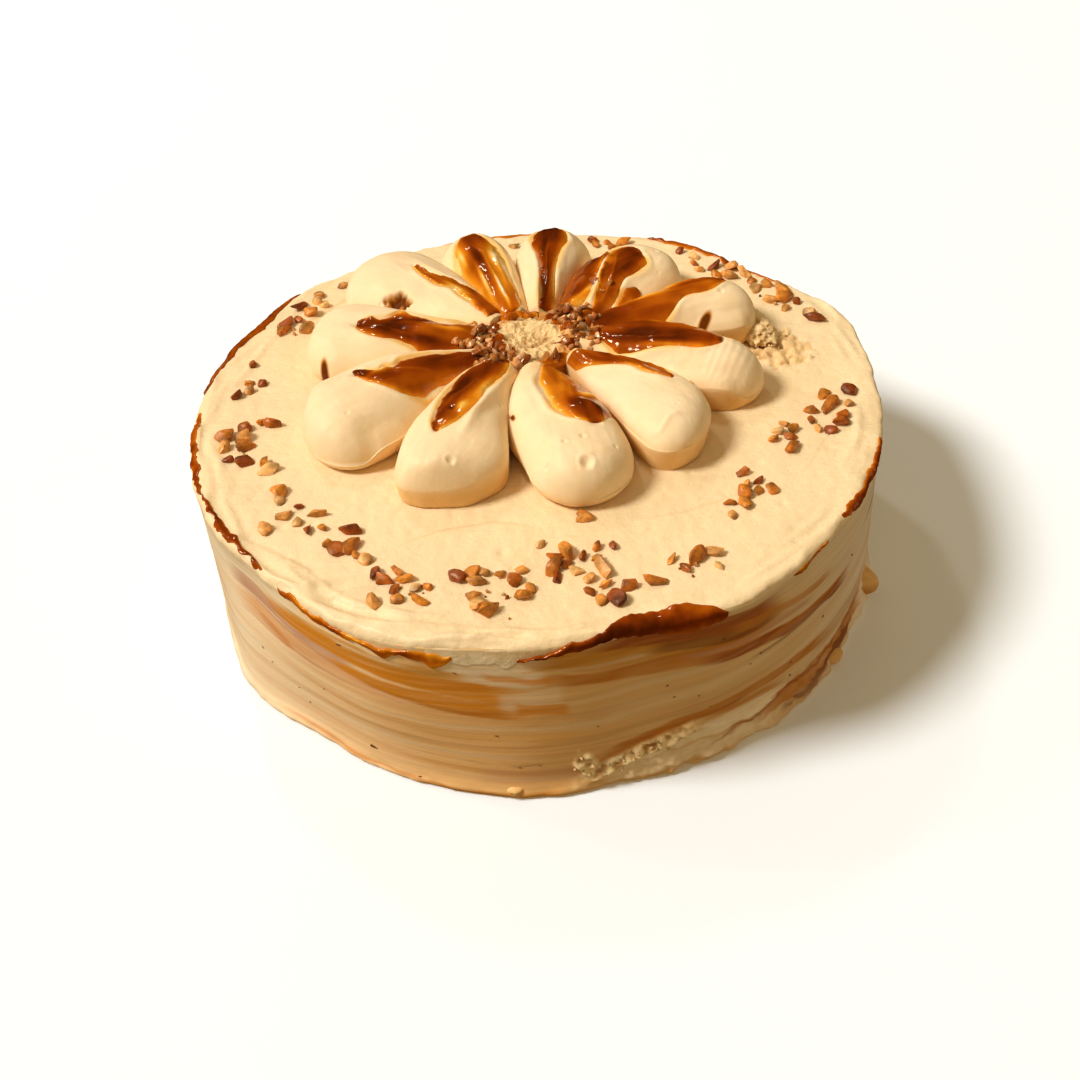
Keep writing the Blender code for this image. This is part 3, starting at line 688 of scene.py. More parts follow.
# Streaks drawn round the wall: colour, strength, half thickness at each end, and the path (angle, height).
WALL_STREAKS = (
    (PALE, 0.9, 2.4, 2.4, ((-166, 60.0), (-152, 58.5), (-141, 58.6), (-126, 59.4))),
    (TAN, 0.30, 1.0, 1.4, ((-144, 35.5), (-120, 34.0), (-96, 33.0), (-62, 33.5))),
    (PALE, 0.35, 1.0, 1.2, ((-140, 30.5), (-112, 30.0), (-84, 29.5), (-50, 31.0))),
    (OLIVE_OCHRE, 0.35, 1.6, 2.2, ((-128, 26.5), (-114, 27.0), (-98, 26.0), (-82, 25.0))),
    (TAN, 0.38, 0.8, 1.2, ((-140, 20.5), (-118, 21.5), (-96, 21.0), (-64, 24.5), (-40, 27.0))),
    (PALE, 0.40, 1.2, 1.4, ((-146, 16.5), (-124, 17.5), (-102, 17.0), (-90, 16.0))),
    (MAUVE, 0.28, 3.0, 3.6, ((-104, 9.0), (-97, 8.6), (-90, 9.0), (-82, 8.0))),
    (MAUVE, 0.90, 4.0, 1.6, ((-151, 50.8), (-143, 50.6), (-137, 50.0), (-129, 47.4), (-118, 46.4))),
    (PEACH, 0.95, 5.0, 3.2, ((-150, 41.6), (-138, 41.6), (-126, 41.4), (-108, 40.0))),
    (MAUVE, 0.70, 0.6, 0.8, ((-147, 46.6), (-134, 45.4), (-122, 43.4), (-108, 42.6))),
    (MAUVE, 0.60, 0.5, 0.6, ((-144, 39.6), (-132, 37.6), (-118, 37.0))),
    (ORANGE, 0.60, 0.8, 1.2, ((-143, 41.0), (-139, 40.4), (-133, 38.6))),
    (
        OCHRE, 1.00, 3.0, 3.6,
        ((-142, 52.6), (-134, 52.6), (-126, 51.6), (-117, 50.2), (-109, 47.8), (-101, 45.8), (-92, 44.6)),
    ),
    (OLIVE_OCHRE, 0.85, 1.0, 1.6, ((-137, 56.0), (-128, 55.8), (-118, 54.6), (-108, 52.4), (-101, 50.0))),
    (PALE, 0.90, 0.8, 1.2, ((-128, 59.0), (-121, 58.6), (-116, 56.8), (-111, 56.4))),
    (PALE, 0.60, 0.5, 0.6, ((-124, 54.8), (-117, 54.4), (-110, 53.6))),
    (OCHRE, 1.00, 0.9, 4.6, ((-128, 45.0), (-118, 43.6), (-110, 41.4), (-102, 38.8), (-93, 38.2))),
    (BROWN_OCHRE, 0.85, 0.5, 1.4, ((-122, 42.6), (-112, 39.4), (-104, 36.4), (-94, 35.4))),
    # Painted light: the hanging tongue is painted pale where it bulges out and up into the light.
    (LEDGE_PALE, 0.95, 4.6, 4.6, ((-108, 59.0), (-102, 57.4), (-96, 57.6), (-89, 60.0))),
    (GREY_BEIGE, 0.90, 2.6, 3.2, ((-104, 53.4), (-99, 51.4), (-94, 50.0), (-90, 50.6))),
    (GREY_BEIGE, 0.55, 3.0, 4.6, ((-99, 41.0), (-96, 41.5), (-92, 42.0), (-88, 43.0))),
    (OCHRE, 0.80, 0.9, 1.4, ((-101, 53.0), (-97, 51.0), (-93, 49.2), (-89, 49.6))),
    (OCHRE, 0.95, 2.3, 2.5, ((-96.5, 38.4), (-92.5, 37.4), (-87.5, 36.4))),
    (
        OLIVE_OCHRE, 1.00, 3.8, 4.8,
        ((-97, 58.6), (-88, 56.4), (-80, 54.0), (-70, 51.6), (-58, 49.0), (-50, 48.0)),
    ),
    (BROWN_OCHRE, 1.00, 2.0, 4.0, ((-94, 49.6), (-86, 48.6), (-76, 45.6), (-66, 44.8), (-54, 46.2))),
    (GREY_BEIGE, 0.50, 0.5, 0.7, ((-92, 53.6), (-82, 52.0), (-74, 50.6))),
    (RED_BROWN, 1.00, 3.4, 4.0, ((-87, 61.0), (-77, 58.4), (-69, 56.4), (-60, 54.6), (-52, 54.0))),
    (BROWN, 0.80, 1.8, 2.2, ((-77, 52.6), (-68, 50.6), (-61, 49.2), (-52, 48.6))),
    (MAUVE, 0.70, 0.8, 1.2, ((-72, 46.6), (-62, 45.6), (-54, 44.8), (-44, 44.0))),
    (BROWN_OCHRE, 0.80, 1.8, 1.6, ((-64, 52.0), (-55, 50.0), (-47, 48.0), (-40, 47.4))),
    (RED_BROWN, 1.00, 2.0, 2.4, ((-70, 43.6), (-60, 41.4), (-52, 39.0), (-43, 37.4), (-32, 35.8))),
    (OCHRE, 0.55, 0.6, 0.9, ((-58, 39.6), (-48, 39.6), (-40, 38.6), (-32, 38.8))),
    (BROWN, 0.75, 0.5, 0.6, ((-60, 35.4), (-50, 36.0), (-42, 35.4), (-34, 33.6))),
    (
        BROWN_OCHRE, 1.00, 1.2, 2.4,
        ((-88, 12.0), (-79, 16.8), (-72, 19.6), (-62, 21.0), (-50, 20.6), (-36, 18.6)),
    ),
    (RED_BROWN, 0.75, 0.8, 1.0, ((-82, 14.4), (-76, 17.2), (-68, 19.4), (-58, 19.6))),
    (
        LEDGE_PALE, 1.00, 2.2, 3.2,
        ((-88, 7.0), (-78, 10.6), (-70, 13.4), (-63, 13.0), (-54, 12.2), (-47, 12.4)),
    ),
    (LEDGE_PALE, 0.70, 2.6, 3.6, ((-86, 3.6), (-76, 5.6), (-68, 6.6), (-60, 4.6), (-52, 4.4))),
    (BROWN_OCHRE, 0.90, 2.4, 5.4, ((-60, 7.6), (-52, 8.8), (-44, 7.8), (-32, 8.4), (-22, 9.6))),
    # Partly painted shade: this red-brown line lies in the groove under the pale ledge.
    (
        RED_BROWN, 0.90, 0.5, 0.8,
        ((-69, 6.2), (-60, 8.6), (-54, 10.8), (-49, 10.6), (-44, 8.6), (-38, 9.4), (-28, 12.0)),
    ),
    (BROWN, 0.85, 0.6, 1.8, ((-54, 4.4), (-46, 3.6), (-38, 5.4), (-28, 5.0))),
    (ORANGE, 0.75, 0.5, 0.5, ((-143, 3.4), (-130, 4.2), (-119, 3.2), (-108, 2.2), (-98, 1.6))),
    (TAN, 0.30, 2.2, 2.6, ((-134, 5.4), (-118, 5.8), (-100, 5.2), (-86, 4.6))),
    (TAN, 0.50, 2.4, 3.6, ((-46, 17.0), (-38, 18.0), (-28, 17.0), (-20, 16.0))),
    (OCHRE, 0.80, 0.7, 0.9, ((-112, 1.4), (-104, 1.6), (-95, 1.4), (-88, 2.0))),
    (DARK_BROWN, 0.28, 0.2, 0.3, ((-138, 14.2), (-122, 15.2), (-110, 13.6), (-97, 13.2))),
    (DARK_BROWN, 0.60, 0.25, 0.3, ((-98, 13.2), (-95, 13.3), (-92, 13.2))),
    (GREY_BEIGE, 0.6, 2.0, 3.0, ((-50, 57), (-38, 56), (-24, 52), (-12, 50))),
    (BROWN, 0.6, 1.2, 1.0, ((-30, 46), (-18, 44), (-4, 47), (12, 45))),
    (OCHRE, 0.7, 2.0, 2.6, ((8, 52), (24, 50), (44, 53), (60, 49))),
    (RED_BROWN, 0.6, 0.8, 1.2, ((16, 40), (34, 37), (52, 41), (66, 38))),
    (MAUVE, 0.5, 1.4, 1.8, ((40, 30), (60, 27), (84, 31))),
    (PEACH, 0.6, 2.4, 2.0, ((70, 44), (92, 40), (118, 43))),
    (OCHRE, 0.8, 1.6, 2.4, ((84, 56), (100, 52), (120, 54), (134, 50))),
    (BROWN, 0.6, 0.9, 1.2, ((98, 34), (116, 30), (140, 33))),
    (ORANGE, 0.6, 1.2, 1.4, ((60, 15), (84, 13), (106, 16))),
    (GREY_BEIGE, 0.6, 2.0, 2.6, ((120, 22), (140, 19), (164, 24))),
    (MAUVE, 0.5, 1.2, 1.6, ((144, 48), (160, 45), (178, 47))),
    (OLIVE_OCHRE, 0.6, 1.2, 1.6, ((156, 54), (172, 51), (190, 53))),
    (MAUVE, 0.4, 1.0, 1.6, ((-176, 38), (-164, 34), (-152, 33))),
    (PEACH, 0.5, 1.6, 2.0, ((-178, 28), (-164, 26), (-150, 24))),
)
FINE_STREAKS = 110
FINE_STREAK_SEED = 21
FINE_STREAK_COLOURS = (PALE, PEACH, TAN, OLIVE_OCHRE, GREY_BEIGE, PEACH, TAN, PALE)
# Dark specks stuck in the wall: angle, height, length.
WALL_SPECKS = (
    (-120, 8.5, 4.2),
    (-112, 3.0, 1.6),
    (-133, 13.6, 1.4),
    (-143, 25.6, 1.5),
    (-141, 21.8, 1.2),
    (-128, 26.9, 1.2),
    (-96, 12.6, 1.2),
    (-93, 13.0, 1.0),
    (-99, 26.6, 1.4),
    (-135, 17.9, 1.1),
    (-64, 49.4, 1.8),
    (-57, 35.3, 1.6),
    (-59, 33.0, 1.2),
    (-72, 31.5, 1.4),
    (-66, 22.5, 1.2),
    (-68, 29.0, 1.0),
    (-84, 27.0, 1.1),
    (-50, 21.0, 1.8),
    (-50, 15.3, 1.5),
    (-73, 36.8, 1.6),
    (-122, 54.0, 2.2),
    (-107, 55.0, 2.6),
    (-104, 53.2, 1.8),
    (-42, 29.0, 1.6),
    (-33, 41.0, 1.8),
    (34, 24.0, 1.6),
    (71, 34.0, 1.3),
    (102, 21.0, 1.5),
    (139, 39.0, 1.2),
    (168, 17.0, 1.5),
)
# Loose crumbs: angle, height (or None for the top), distance from the axis (or None for the wall), how
# many, scatter, and whether they are sponge or nut.
CRUMB_GROUPS = (
    (-86, 11.0, None, 7, 4.0, "sponge"),
    (-80, 10.2, None, 8, 4.0, "sponge"),
    (-75, 13.6, None, 8, 4.0, "sponge"),
    (16, None, 90, 14, 8.0, "sponge"),
    (-114, None, 98, 5, 9.0, "nut"),
    (-100, None, 97, 5, 9.0, "nut"),
    (-66, None, 99, 4, 8.0, "nut"),
    (-170, None, 97, 4, 8.0, "nut"),
    (-40, None, 87, 3, 7.0, "nut"),
    (150, None, 99, 4, 8.0, "nut"),
    (30, None, 101, 4, 7.0, "nut"),
)
CRUMB_SIZES = (0.9, 2.4)
CRUMB_SEED = 31


# ---- Numbers worked on whole arrays ----


def smooth_step(value):
    """0 below 0, 1 above 1, and a smooth cubic between them."""
    value = np.clip(value, 0.0, 1.0)
    return value * value * (3 - 2 * value)


def window(value, start, end, rise, fall):
    """1 between the start and the end, going smoothly to 0 over the rise and the fall just inside them."""
    return smooth_step((value - start) / rise) * smooth_step((end - value) / fall)


def bell(value, half_width):
    """1 at 0, falling off on both sides as a Gauss curve."""
    return np.exp(-((value / half_width) ** 2))


def swelling(share, power=1.0, least=0.0):
    """0 at both ends of a path and 1 half way along it: a power of a sine, whose ends may be cut off."""
    return np.sin(np.pi * np.clip(share, least, 1 - least)) ** power


def from_ends(values):
    """How far each of a rising row of values is from the nearer end of the row."""
    return np.minimum(values - values[0], values[-1] - values)


def rounded_end(distances, reach):
    """0 at an end, rising along a quarter circle to 1 over the reach."""
    return np.sqrt(1 - (1 - np.clip(distances / reach, 0, 1)) ** 2)


def fullness(across, power):
    """1 over the middle of a strip and 0 at its edges, -1 and 1, the squarer the higher the power."""
    return np.sqrt(np.clip(1 - np.abs(across) ** power, 0, 1))


def across_strip(count):
    """Places across a strip from -1 to 1, closer together towards its edges."""
    return np.sin(np.linspace(-1, 1, count) * math.pi / 2)


def turn_from(angles, centre):
    """Degrees from the centre to each angle, the short way round."""
    return (angles - centre + 180) % 360 - 180


def turned_frame(x, y, centre, degrees):
    """Places as seen from a centre in a direction: how far along it, and how far to its left."""
    turn = math.radians(degrees)
    x, y = x - centre[0], y - centre[1]
    return x * math.cos(turn) + y * math.sin(turn), y * math.cos(turn) - x * math.sin(turn)


def turned_back(along, left, centre, degrees):
    """The places that lie that far along a direction from a centre, and that far to its left."""
    turn = math.radians(degrees)
    x = centre[0] + along * math.cos(turn) - left * math.sin(turn)
    y = centre[1] + along * math.sin(turn) + left * math.cos(turn)
    return x, y


def waves_at(angles, waves):
    """The sum of the bell-shaped swellings of that list, at each angle."""
    return sum(amount * bell(turn_from(angles, centre), half_width) for centre, half_width, amount in waves)


def lattice_noise(points, scale, seed=0):
    """Smooth noise from -1 to 1: hashed numbers at the corners of boxes, blended inside each box."""
    cell = np.asarray(points, float) / scale
    base = np.floor(cell).astype(np.int64)
    part = smooth_step(cell - base)
    total = np.zeros(cell.shape[:-1])
    for corner in np.ndindex(2, 2, 2):
        weight = np.prod(np.where(corner, part, 1 - part), axis=-1)
        total += weight * hashed(base + np.array(corner), seed)
    return total


def hashed(cells, seed):
    """An even number from -1 to 1 for each whole-numbered cell, the same on every run."""
    mixed = (cells * np.array([73856093, 19349663, 83492791])).sum(axis=-1) + seed * 668265263
    mixed = mixed & 0xFFFFFFFF
    mixed = ((mixed ^ (mixed >> 15)) * 2246822519) & 0xFFFFFFFF
    mixed = ((mixed ^ (mixed >> 13)) * 3266489917) & 0xFFFFFFFF
    return (mixed ^ (mixed >> 16)) / 0x7FFFFFFF - 1.0


def layered_noise(points, scale, seed=0, layers=3):
    """Lattice noise with finer noise added, each layer half as large and half as strong."""
    scale = np.asarray(scale, float)
    return sum(lattice_noise(points, scale / 2**i, seed + i) / 2**i for i in range(layers))


def nearest_seed(points, spacing, seed=0):
    """How far each place is from the nearest of the points strewn one to a box, as a share of the spacing."""
    cell = np.asarray(points, float) / spacing
    base = np.floor(cell).astype(np.int64)
    nearest = np.full(cell.shape[:-1], 9.0)
    for step in np.ndindex(3, 3, 3):
        at = base + np.array(step) - 1
        spot = np.stack([hashed(at, seed + axis) * 0.4 + 0.5 for axis in range(3)], axis=-1)
        nearest = np.minimum(nearest, np.linalg.norm(at + spot - cell, axis=-1))
    return nearest


def noise_sum(points, layers, shift=0):
    """Lattice noise from a table of its strengths, sizes and seeds, with the seeds shifted."""
    return sum(strength * lattice_noise(points, scale, seed + shift) for strength, scale, seed in layers)


def through_knots(knots, at):
    """A smooth curve through the knots: each stretch is a cubic with the slopes of its neighbours."""
    knots = np.asarray(knots, float)
    places, values = knots[:, 0], knots[:, 1:]
    slopes = np.gradient(values, places, axis=0)
    i = np.clip(np.searchsorted(places, at) - 1, 0, len(places) - 2)
    length = (places[i + 1] - places[i])[..., None]
    t = np.clip((at - places[i])[..., None] / length, 0.0, 1.0)
    rest = 1 - t
    ends = values[i] * (1 + 2 * t) * rest**2 + values[i + 1] * t**2 * (3 - 2 * t)
    bends = length * (slopes[i] * t * rest**2 - slopes[i + 1] * t**2 * rest)
    return np.moveaxis(ends + bends, -1, 0)


def from_path(x, y, path):
    """Distance from each place to a drawn line, above 0 at its left, and the share run along it."""
    knots = np.array(path, float)
    best = np.full(np.shape(x), np.inf)
    signed = np.zeros(np.shape(x))
    along = np.zeros(np.shape(x))
    for i, (start, end) in enumerate(zip(knots, knots[1:])):
        step = end - start
        share = np.clip(((x - start[0]) * step[0] + (y - start[1]) * step[1]) / (step @ step), 0.0, 1.0)
        dx, dy = x - start[0] - share * step[0], y - start[1] - share * step[1]
        apart = np.hypot(dx, dy)
        nearer = apart < best
        best = np.where(nearer, apart, best)
        signed = np.where(nearer, apart * np.sign(step[0] * dy - step[1] * dx), signed)
        along = np.where(nearer, (i + share) / (len(knots) - 1), along)
    return signed, along


def polar_path(path):
    """Knots of angle and distance as knots of x and y."""
    return [(r * math.cos(math.radians(a)), r * math.sin(math.radians(a))) for a, r in path]


def polar_points(radius, angles, heights):
    """Points at those radii, angles and heights round the axis."""
    turn = np.radians(angles)
    return np.stack(np.broadcast_arrays(radius * np.cos(turn), radius * np.sin(turn), heights), axis=-1)


def angles_of(points):
    """The angle of each point round the axis, in degrees."""
    return np.degrees(np.arctan2(points[..., 1], points[..., 0]))


def level_points(x, y=0.0):
    """Points at those places and at height 0, where noise is read that doesn't change with height."""
    return np.stack(np.broadcast_arrays(x, y, 0.0), axis=-1)


def lifted(points, heights):
    """The points, raised by those heights."""
    return points + np.array([0, 0, 1]) * heights[..., None]


def ball_points(steepest, rows, columns):
    """Points on a unit ball, in rings from its underside up."""
    up, round_it = np.meshgrid(
        np.linspace(-steepest, steepest, rows), np.linspace(0, 360, columns, endpoint=False), indexing="ij"
    )
    return polar_points(np.cos(np.radians(up)), round_it, np.sin(np.radians(up)))


def blend_towards(tints, colour, share):
    """Colours, or one colour, blended towards another colour by a share at each place."""
    tints = np.asarray(tints)
    return tints + (np.array(colour) - tints) * np.clip(share, 0.0, 1.0)[..., None]


def between_stops(share, stops):
    """Colours along an evenly spaced row of stops."""
    stops = np.array(stops)
    places = np.linspace(0.0, 1.0, len(stops))
    return np.stack([np.interp(share, places, stops[:, channel]) for channel in range(3)], axis=-1)


# ---- Meshes ----


def grid_faces(rows, columns, closed=False, start=0):
    """Quads between neighbours in a grid of points, and round to the first column if closed."""
    index = start + np.arange(rows * columns).reshape(rows, columns)
    if closed:
        index = np.concatenate([index, index[:, :1]], axis=1)
    corners = (index[:-1, :-1], index[:-1, 1:], index[1:, 1:], index[1:, :-1])
    return np.stack(corners, axis=-1).reshape(-1, 4).tolist()


def fan_faces(ring, pole):
    """Triangles from each edge of a closed ring of point numbers to one point."""
    return np.stack([ring, np.roll(ring, -1), np.full(len(ring), pole)], axis=-1).tolist()


def make_piece(name, points, faces, tints, finish, stands_for=(), sharp=None):
    """A closed mesh of those points, in millimetres, that rides on the cake, with a colour at each point."""
    mesh = bpy.data.meshes.new(name)
    mesh.from_pydata(np.asarray(points, float).reshape(-1, 3) * MM, [], faces)
    layer = mesh.color_attributes.new("tint", "FLOAT_COLOR", "POINT")
    colours = np.ones((len(mesh.vertices), 4), np.float32)
    colours[:, :3] = np.asarray(tints, float).reshape(-1, 3)
    layer.data.foreach_set("color", colours.ravel())
    bm = bmesh.new()
    bm.from_mesh(mesh)
    bmesh.ops.remove_doubles(bm, verts=bm.verts, dist=0.002 * MM)
    bmesh.ops.recalc_face_normals(bm, faces=bm.faces)
    bm.to_mesh(mesh)
    bm.free()
    mesh.shade_smooth()
    if sharp:
        mesh.set_sharp_from_angle(angle=math.radians(sharp))
    mesh.materials.append(finish)
    piece = bpy.data.objects.new(name, mesh)
    bpy.context.scene.collection.objects.link(piece)
    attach(piece, "root")
    if stands_for:
        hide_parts(*stands_for)
    return piece


def turned_shell(rows, low_pole, high_pole):
    """Points and faces of rings of points stacked into a closed shell with a pole at each end."""
    count, columns = rows.shape[:2]
    points = np.concatenate([rows.reshape(-1, 3), [low_pole], [high_pole]])
    faces = grid_faces(count, columns, closed=True)
    faces += fan_faces(np.arange(columns), count * columns)
    faces += fan_faces(np.arange(columns) + (count - 1) * columns, count * columns + 1)
    return points, faces


def capped_shell(rows):
    """A turned shell whose poles are the middles of its first and its last ring."""
    return turned_shell(rows, rows[0].mean(axis=0), rows[-1].mean(axis=0))


def slab(below, above):
    """Points and faces of two grids, one over the other, joined all round into a closed shell."""
    rows, columns = below.shape[:2]
    size = rows * columns
    index = np.arange(size).reshape(rows, columns)
    border = np.concatenate([index[0, :-1], index[:-1, -1], index[-1, :0:-1], index[:0:-1, 0]])
    after = np.roll(border, -1)
    faces = grid_faces(rows, columns) + grid_faces(rows, columns, start=size)
    faces += np.stack([border, after, after + size, border + size], axis=-1).tolist()
    return np.concatenate([below.reshape(-1, 3), above.reshape(-1, 3)]), faces


# ---- Finishes ----


def new_finish(name, roughness):
    """A material of that roughness, its node tree and its shader."""
    material = bpy.data.materials.new(name)
    material.use_nodes = True
    shader = material.node_tree.nodes["Principled BSDF"]
    shader.inputs["Roughness"].default_value = roughness
    return material, material.node_tree, shader


def add_node(tree, kind, sockets=None, **settings):
    """A node with its settings made, and its sockets set or joined to another node's output."""
    node = tree.nodes.new(kind)
    for name, value in settings.items():
        setattr(node, name, value)
    for name, value in (sockets or {}).items():
        if isinstance(value, bpy.types.NodeSocket):
            tree.links.new(value, node.inputs[name])
        else:
            node.inputs[name].default_value = value
    return node


def grain(tree, stretch, detail=3.0, roughness=0.55, kind="ShaderNodeTexNoise", **sockets):
    """A noise pattern on the piece's own coordinates, in repeats to the metre along each axis."""
    place = add_node(tree, "ShaderNodeTexCoord").outputs["Object"]
    stretched = add_node(tree, "ShaderNodeMapping", {"Vector": place, "Scale": stretch}).outputs["Vector"]
    chosen = {"Vector": stretched, "Scale": 1.0, **sockets}
    if kind == "ShaderNodeTexNoise":
        chosen |= {"Detail": detail, "Roughness": roughness}
    return add_node(tree, kind, chosen)


def own_tint(tree):
    """The colours that the piece has at its points."""
    return add_node(tree, "ShaderNodeAttribute", attribute_name="tint").outputs["Color"]


def ranged(tree, pattern, contrast, low, high):
    """A pattern turned into a level that runs from low to high over the pattern's contrast."""
    least, most = contrast
    limits = {"Value": pattern, "From Min": least, "From Max": most, "To Min": low, "To Max": high}
    return add_node(tree, "ShaderNodeMapRange", limits).outputs["Result"]


def scaled(tree, colour, level):
    """A colour times a level."""
    node = add_node(tree, "ShaderNodeVectorMath", {0: colour, "Scale": level}, operation="SCALE")
    return node.outputs["Vector"]


def tint_times(tree, pattern, low, high, tint=None):
    """The piece's own colours, from low to high brightness by a pattern."""
    tint = tint or own_tint(tree)
    return scaled(tree, tint, ranged(tree, pattern, (0.3, 0.7), low, high))


def stained_where(tree, pattern, colour, contrast, strength):
    """The piece's own colours, multiplied by a stain's colour where a pattern is high."""
    tint = own_tint(tree)
    share = ranged(tree, pattern, contrast, 0.0, strength)
    mix = add_node(tree, "ShaderNodeMix", data_type="RGBA", blend_type="MULTIPLY")
    tree.links.new(share, mix.inputs[0])
    tree.links.new(tint, mix.inputs[6])
    mix.inputs[7].default_value = (*colour, 1.0)
    return mix.outputs[2]


def bumps(tree, shader, *layers):
    """Joins bump layers, each a pattern and its height in millimetres, to the shader."""
    normal = None
    for pattern, height in layers:
        sockets = {"Height": pattern, "Distance": height * MM, "Strength": 1.0}
        if normal:
            sockets["Normal"] = normal
        normal = add_node(tree, "ShaderNodeBump", sockets).outputs["Normal"]
    tree.links.new(normal, shader.inputs["Normal"])


def soften(shader, weight, depth):
    """Light that goes a little way into the icing and comes out warmer."""
    shader.inputs["Subsurface Weight"].default_value = weight
    shader.inputs["Subsurface Radius"].default_value = (1.0, 0.55, 0.25)
    shader.inputs["Subsurface Scale"].default_value = depth * MM


def spread_icing():
    """Icing smoothed with a knife: satin, with faint long strokes and fine grain."""
    material, tree, shader = new_finish("spread_icing", roughness=0.48)
    strokes = grain(tree, (40, 160, 60)).outputs["Fac"]
    fine = grain(tree, (900, 900, 900), detail=2.0).outputs["Fac"]
    broad = grain(tree, (28, 28, 28)).outputs["Fac"]
    mid = grain(tree, (260, 260, 260), detail=3.0).outputs["Fac"]
    tree.links.new(tint_times(tree, broad, low=0.95, high=1.02), shader.inputs["Base Color"])
    bumps(tree, shader, (strokes, 0.8), (mid, 0.45), (fine, 0.08))
    shader.inputs["Specular IOR Level"].default_value = 0.35
    soften(shader, weight=0.12, depth=2.5)
    return material


def scraped_icing():
    """Icing scraped round the wall: long level lines, fine and coarse, in colour and in relief."""
    material, tree, shader = new_finish("scraped_icing", roughness=0.46)
    hairs = grain(tree, (11, 11, 700), detail=5.0, roughness=0.65).outputs["Fac"]
    bands = grain(tree, (9, 9, 190), detail=3.0, roughness=0.5).outputs["Fac"]
    grit = grain(tree, (700, 700, 900), detail=2.0).outputs["Fac"]
    stained = stained_where(tree, bands, (0.92, 0.70, 0.44), contrast=(0.48, 0.76), strength=0.55)
    tree.links.new(tint_times(tree, hairs, low=0.91, high=1.07, tint=stained), shader.inputs["Base Color"])
    bumps(tree, shader, (hairs, 0.11), (grit, 0.06))
    shader.inputs["Specular IOR Level"].default_value = 0.22
    soften(shader, weight=0.08, depth=2.0)
    return material


def piped_cream():
    """Smooth piped cream: satin, with a faint pull along each petal and tiny bubbles."""
    material, tree, shader = new_finish("piped_cream", roughness=0.50)
    soft = grain(tree, (120, 120, 120)).outputs["Fac"]
    fine = grain(tree, (1100, 1100, 1100), detail=2.0).outputs["Fac"]
    tree.links.new(tint_times(tree, soft, low=0.97, high=1.01), shader.inputs["Base Color"])
    bumps(tree, shader, (soft, 0.34), (fine, 0.05))
    shader.inputs["Specular IOR Level"].default_value = 0.34
    tree.links.new(own_tint(tree), shader.inputs["Specular Tint"])
    soften(shader, weight=0.16, depth=3.0)
    return material


def glossy_caramel():
    """Thick caramel: wet gloss over colours that run from amber to brown."""
    material, tree, shader = new_finish("glossy_caramel", roughness=0.11)
    runs = grain(tree, (105, 105, 105), detail=2.0).outputs["Fac"]
    tree.links.new(tint_times(tree, runs, low=0.84, high=1.14), shader.inputs["Base Color"])
    bumps(tree, shader, (runs, 0.45))
    shader.inputs["Specular IOR Level"].default_value = 0.42
    shader.inputs["Specular Tint"].default_value = (1.0, 0.74, 0.50, 1.0)
    return material


def chopped_nut(name, roughness):
    """Cut nut under a thin sugary coat."""
    material, tree, shader = new_finish(name, roughness)
    flecks = grain(tree, (520, 520, 520), detail=4.0).outputs["Fac"]
    tree.links.new(tint_times(tree, flecks, low=0.60, high=1.30), shader.inputs["Base Color"])
    bumps(tree, shader, (flecks, 0.30))
    shader.inputs["Specular IOR Level"].default_value = 0.45
    shader.inputs["Specular Tint"].default_value = (1.0, 0.80, 0.60, 1.0)
    soften(shader, weight=0.08, depth=1.0)
    return material


def cake_crumb():
    """Torn sponge: matt and porous."""
    material, tree, shader = new_finish("cake_crumb", roughness=0.80)
    pores = grain(tree, (1300, 1300, 1300), detail=5.0, roughness=0.7).outputs["Fac"]
    tree.links.new(tint_times(tree, pores, low=0.74, high=1.10), shader.inputs["Base Color"])
    bumps(tree, shader, (pores, 0.45))
    return material


# ---- The iced cake ----


def wall_radius(angles, heights):
    """The CAD wall: a cylinder that swells with the rim, spill and foot waves and flares at its foot."""
    rise = smooth_step(heights / CAKE_HEIGHT)
    spill = smooth_step(1 - (CAKE_HEIGHT - heights) / SPILL_DEPTH)
    flare = FOOT_FLARE * (1 - smooth_step(heights / FLARE_HEIGHT))
    swell = rise * waves_at(angles, RIM_WAVES) + (1 - rise) ** 2 * waves_at(angles, FOOT_WAVES)
    return CAKE_RADIUS + swell + spill * waves_at(angles, SPILL_WAVES) + flare


def ledge_line(angles):
    """Height of the torn edge low on the right of the wall, and how strongly it shows at each angle."""
    return np.interp(angles, *LEDGE_LINE), window(angles, *LEDGE_SPAN, rise=7, fall=10)


def torn_share(angles, heights):
    """1 where crumb shows through the wall: along the torn ledge and in one clot left of it."""
    line, shows = ledge_line(angles)
    points = polar_points(CAKE_RADIUS, angles, heights)
    ragged = 0.45 * layered_noise(points, 3.0, 8)
    near_line = smooth_step((1.25 - np.abs(heights - line) / 2.2 + ragged) / 0.5)
    along = shows * smooth_step((-66 - angles) / 5) * near_line
    clot_angle, clot_height, half_width, half_height = LEDGE_CLOT
    away = np.hypot((angles - clot_angle) / half_width, (heights - clot_height) / half_height)
    clot = smooth_step((1.2 - away + ragged) / 0.5)
    return np.maximum(along, clot)


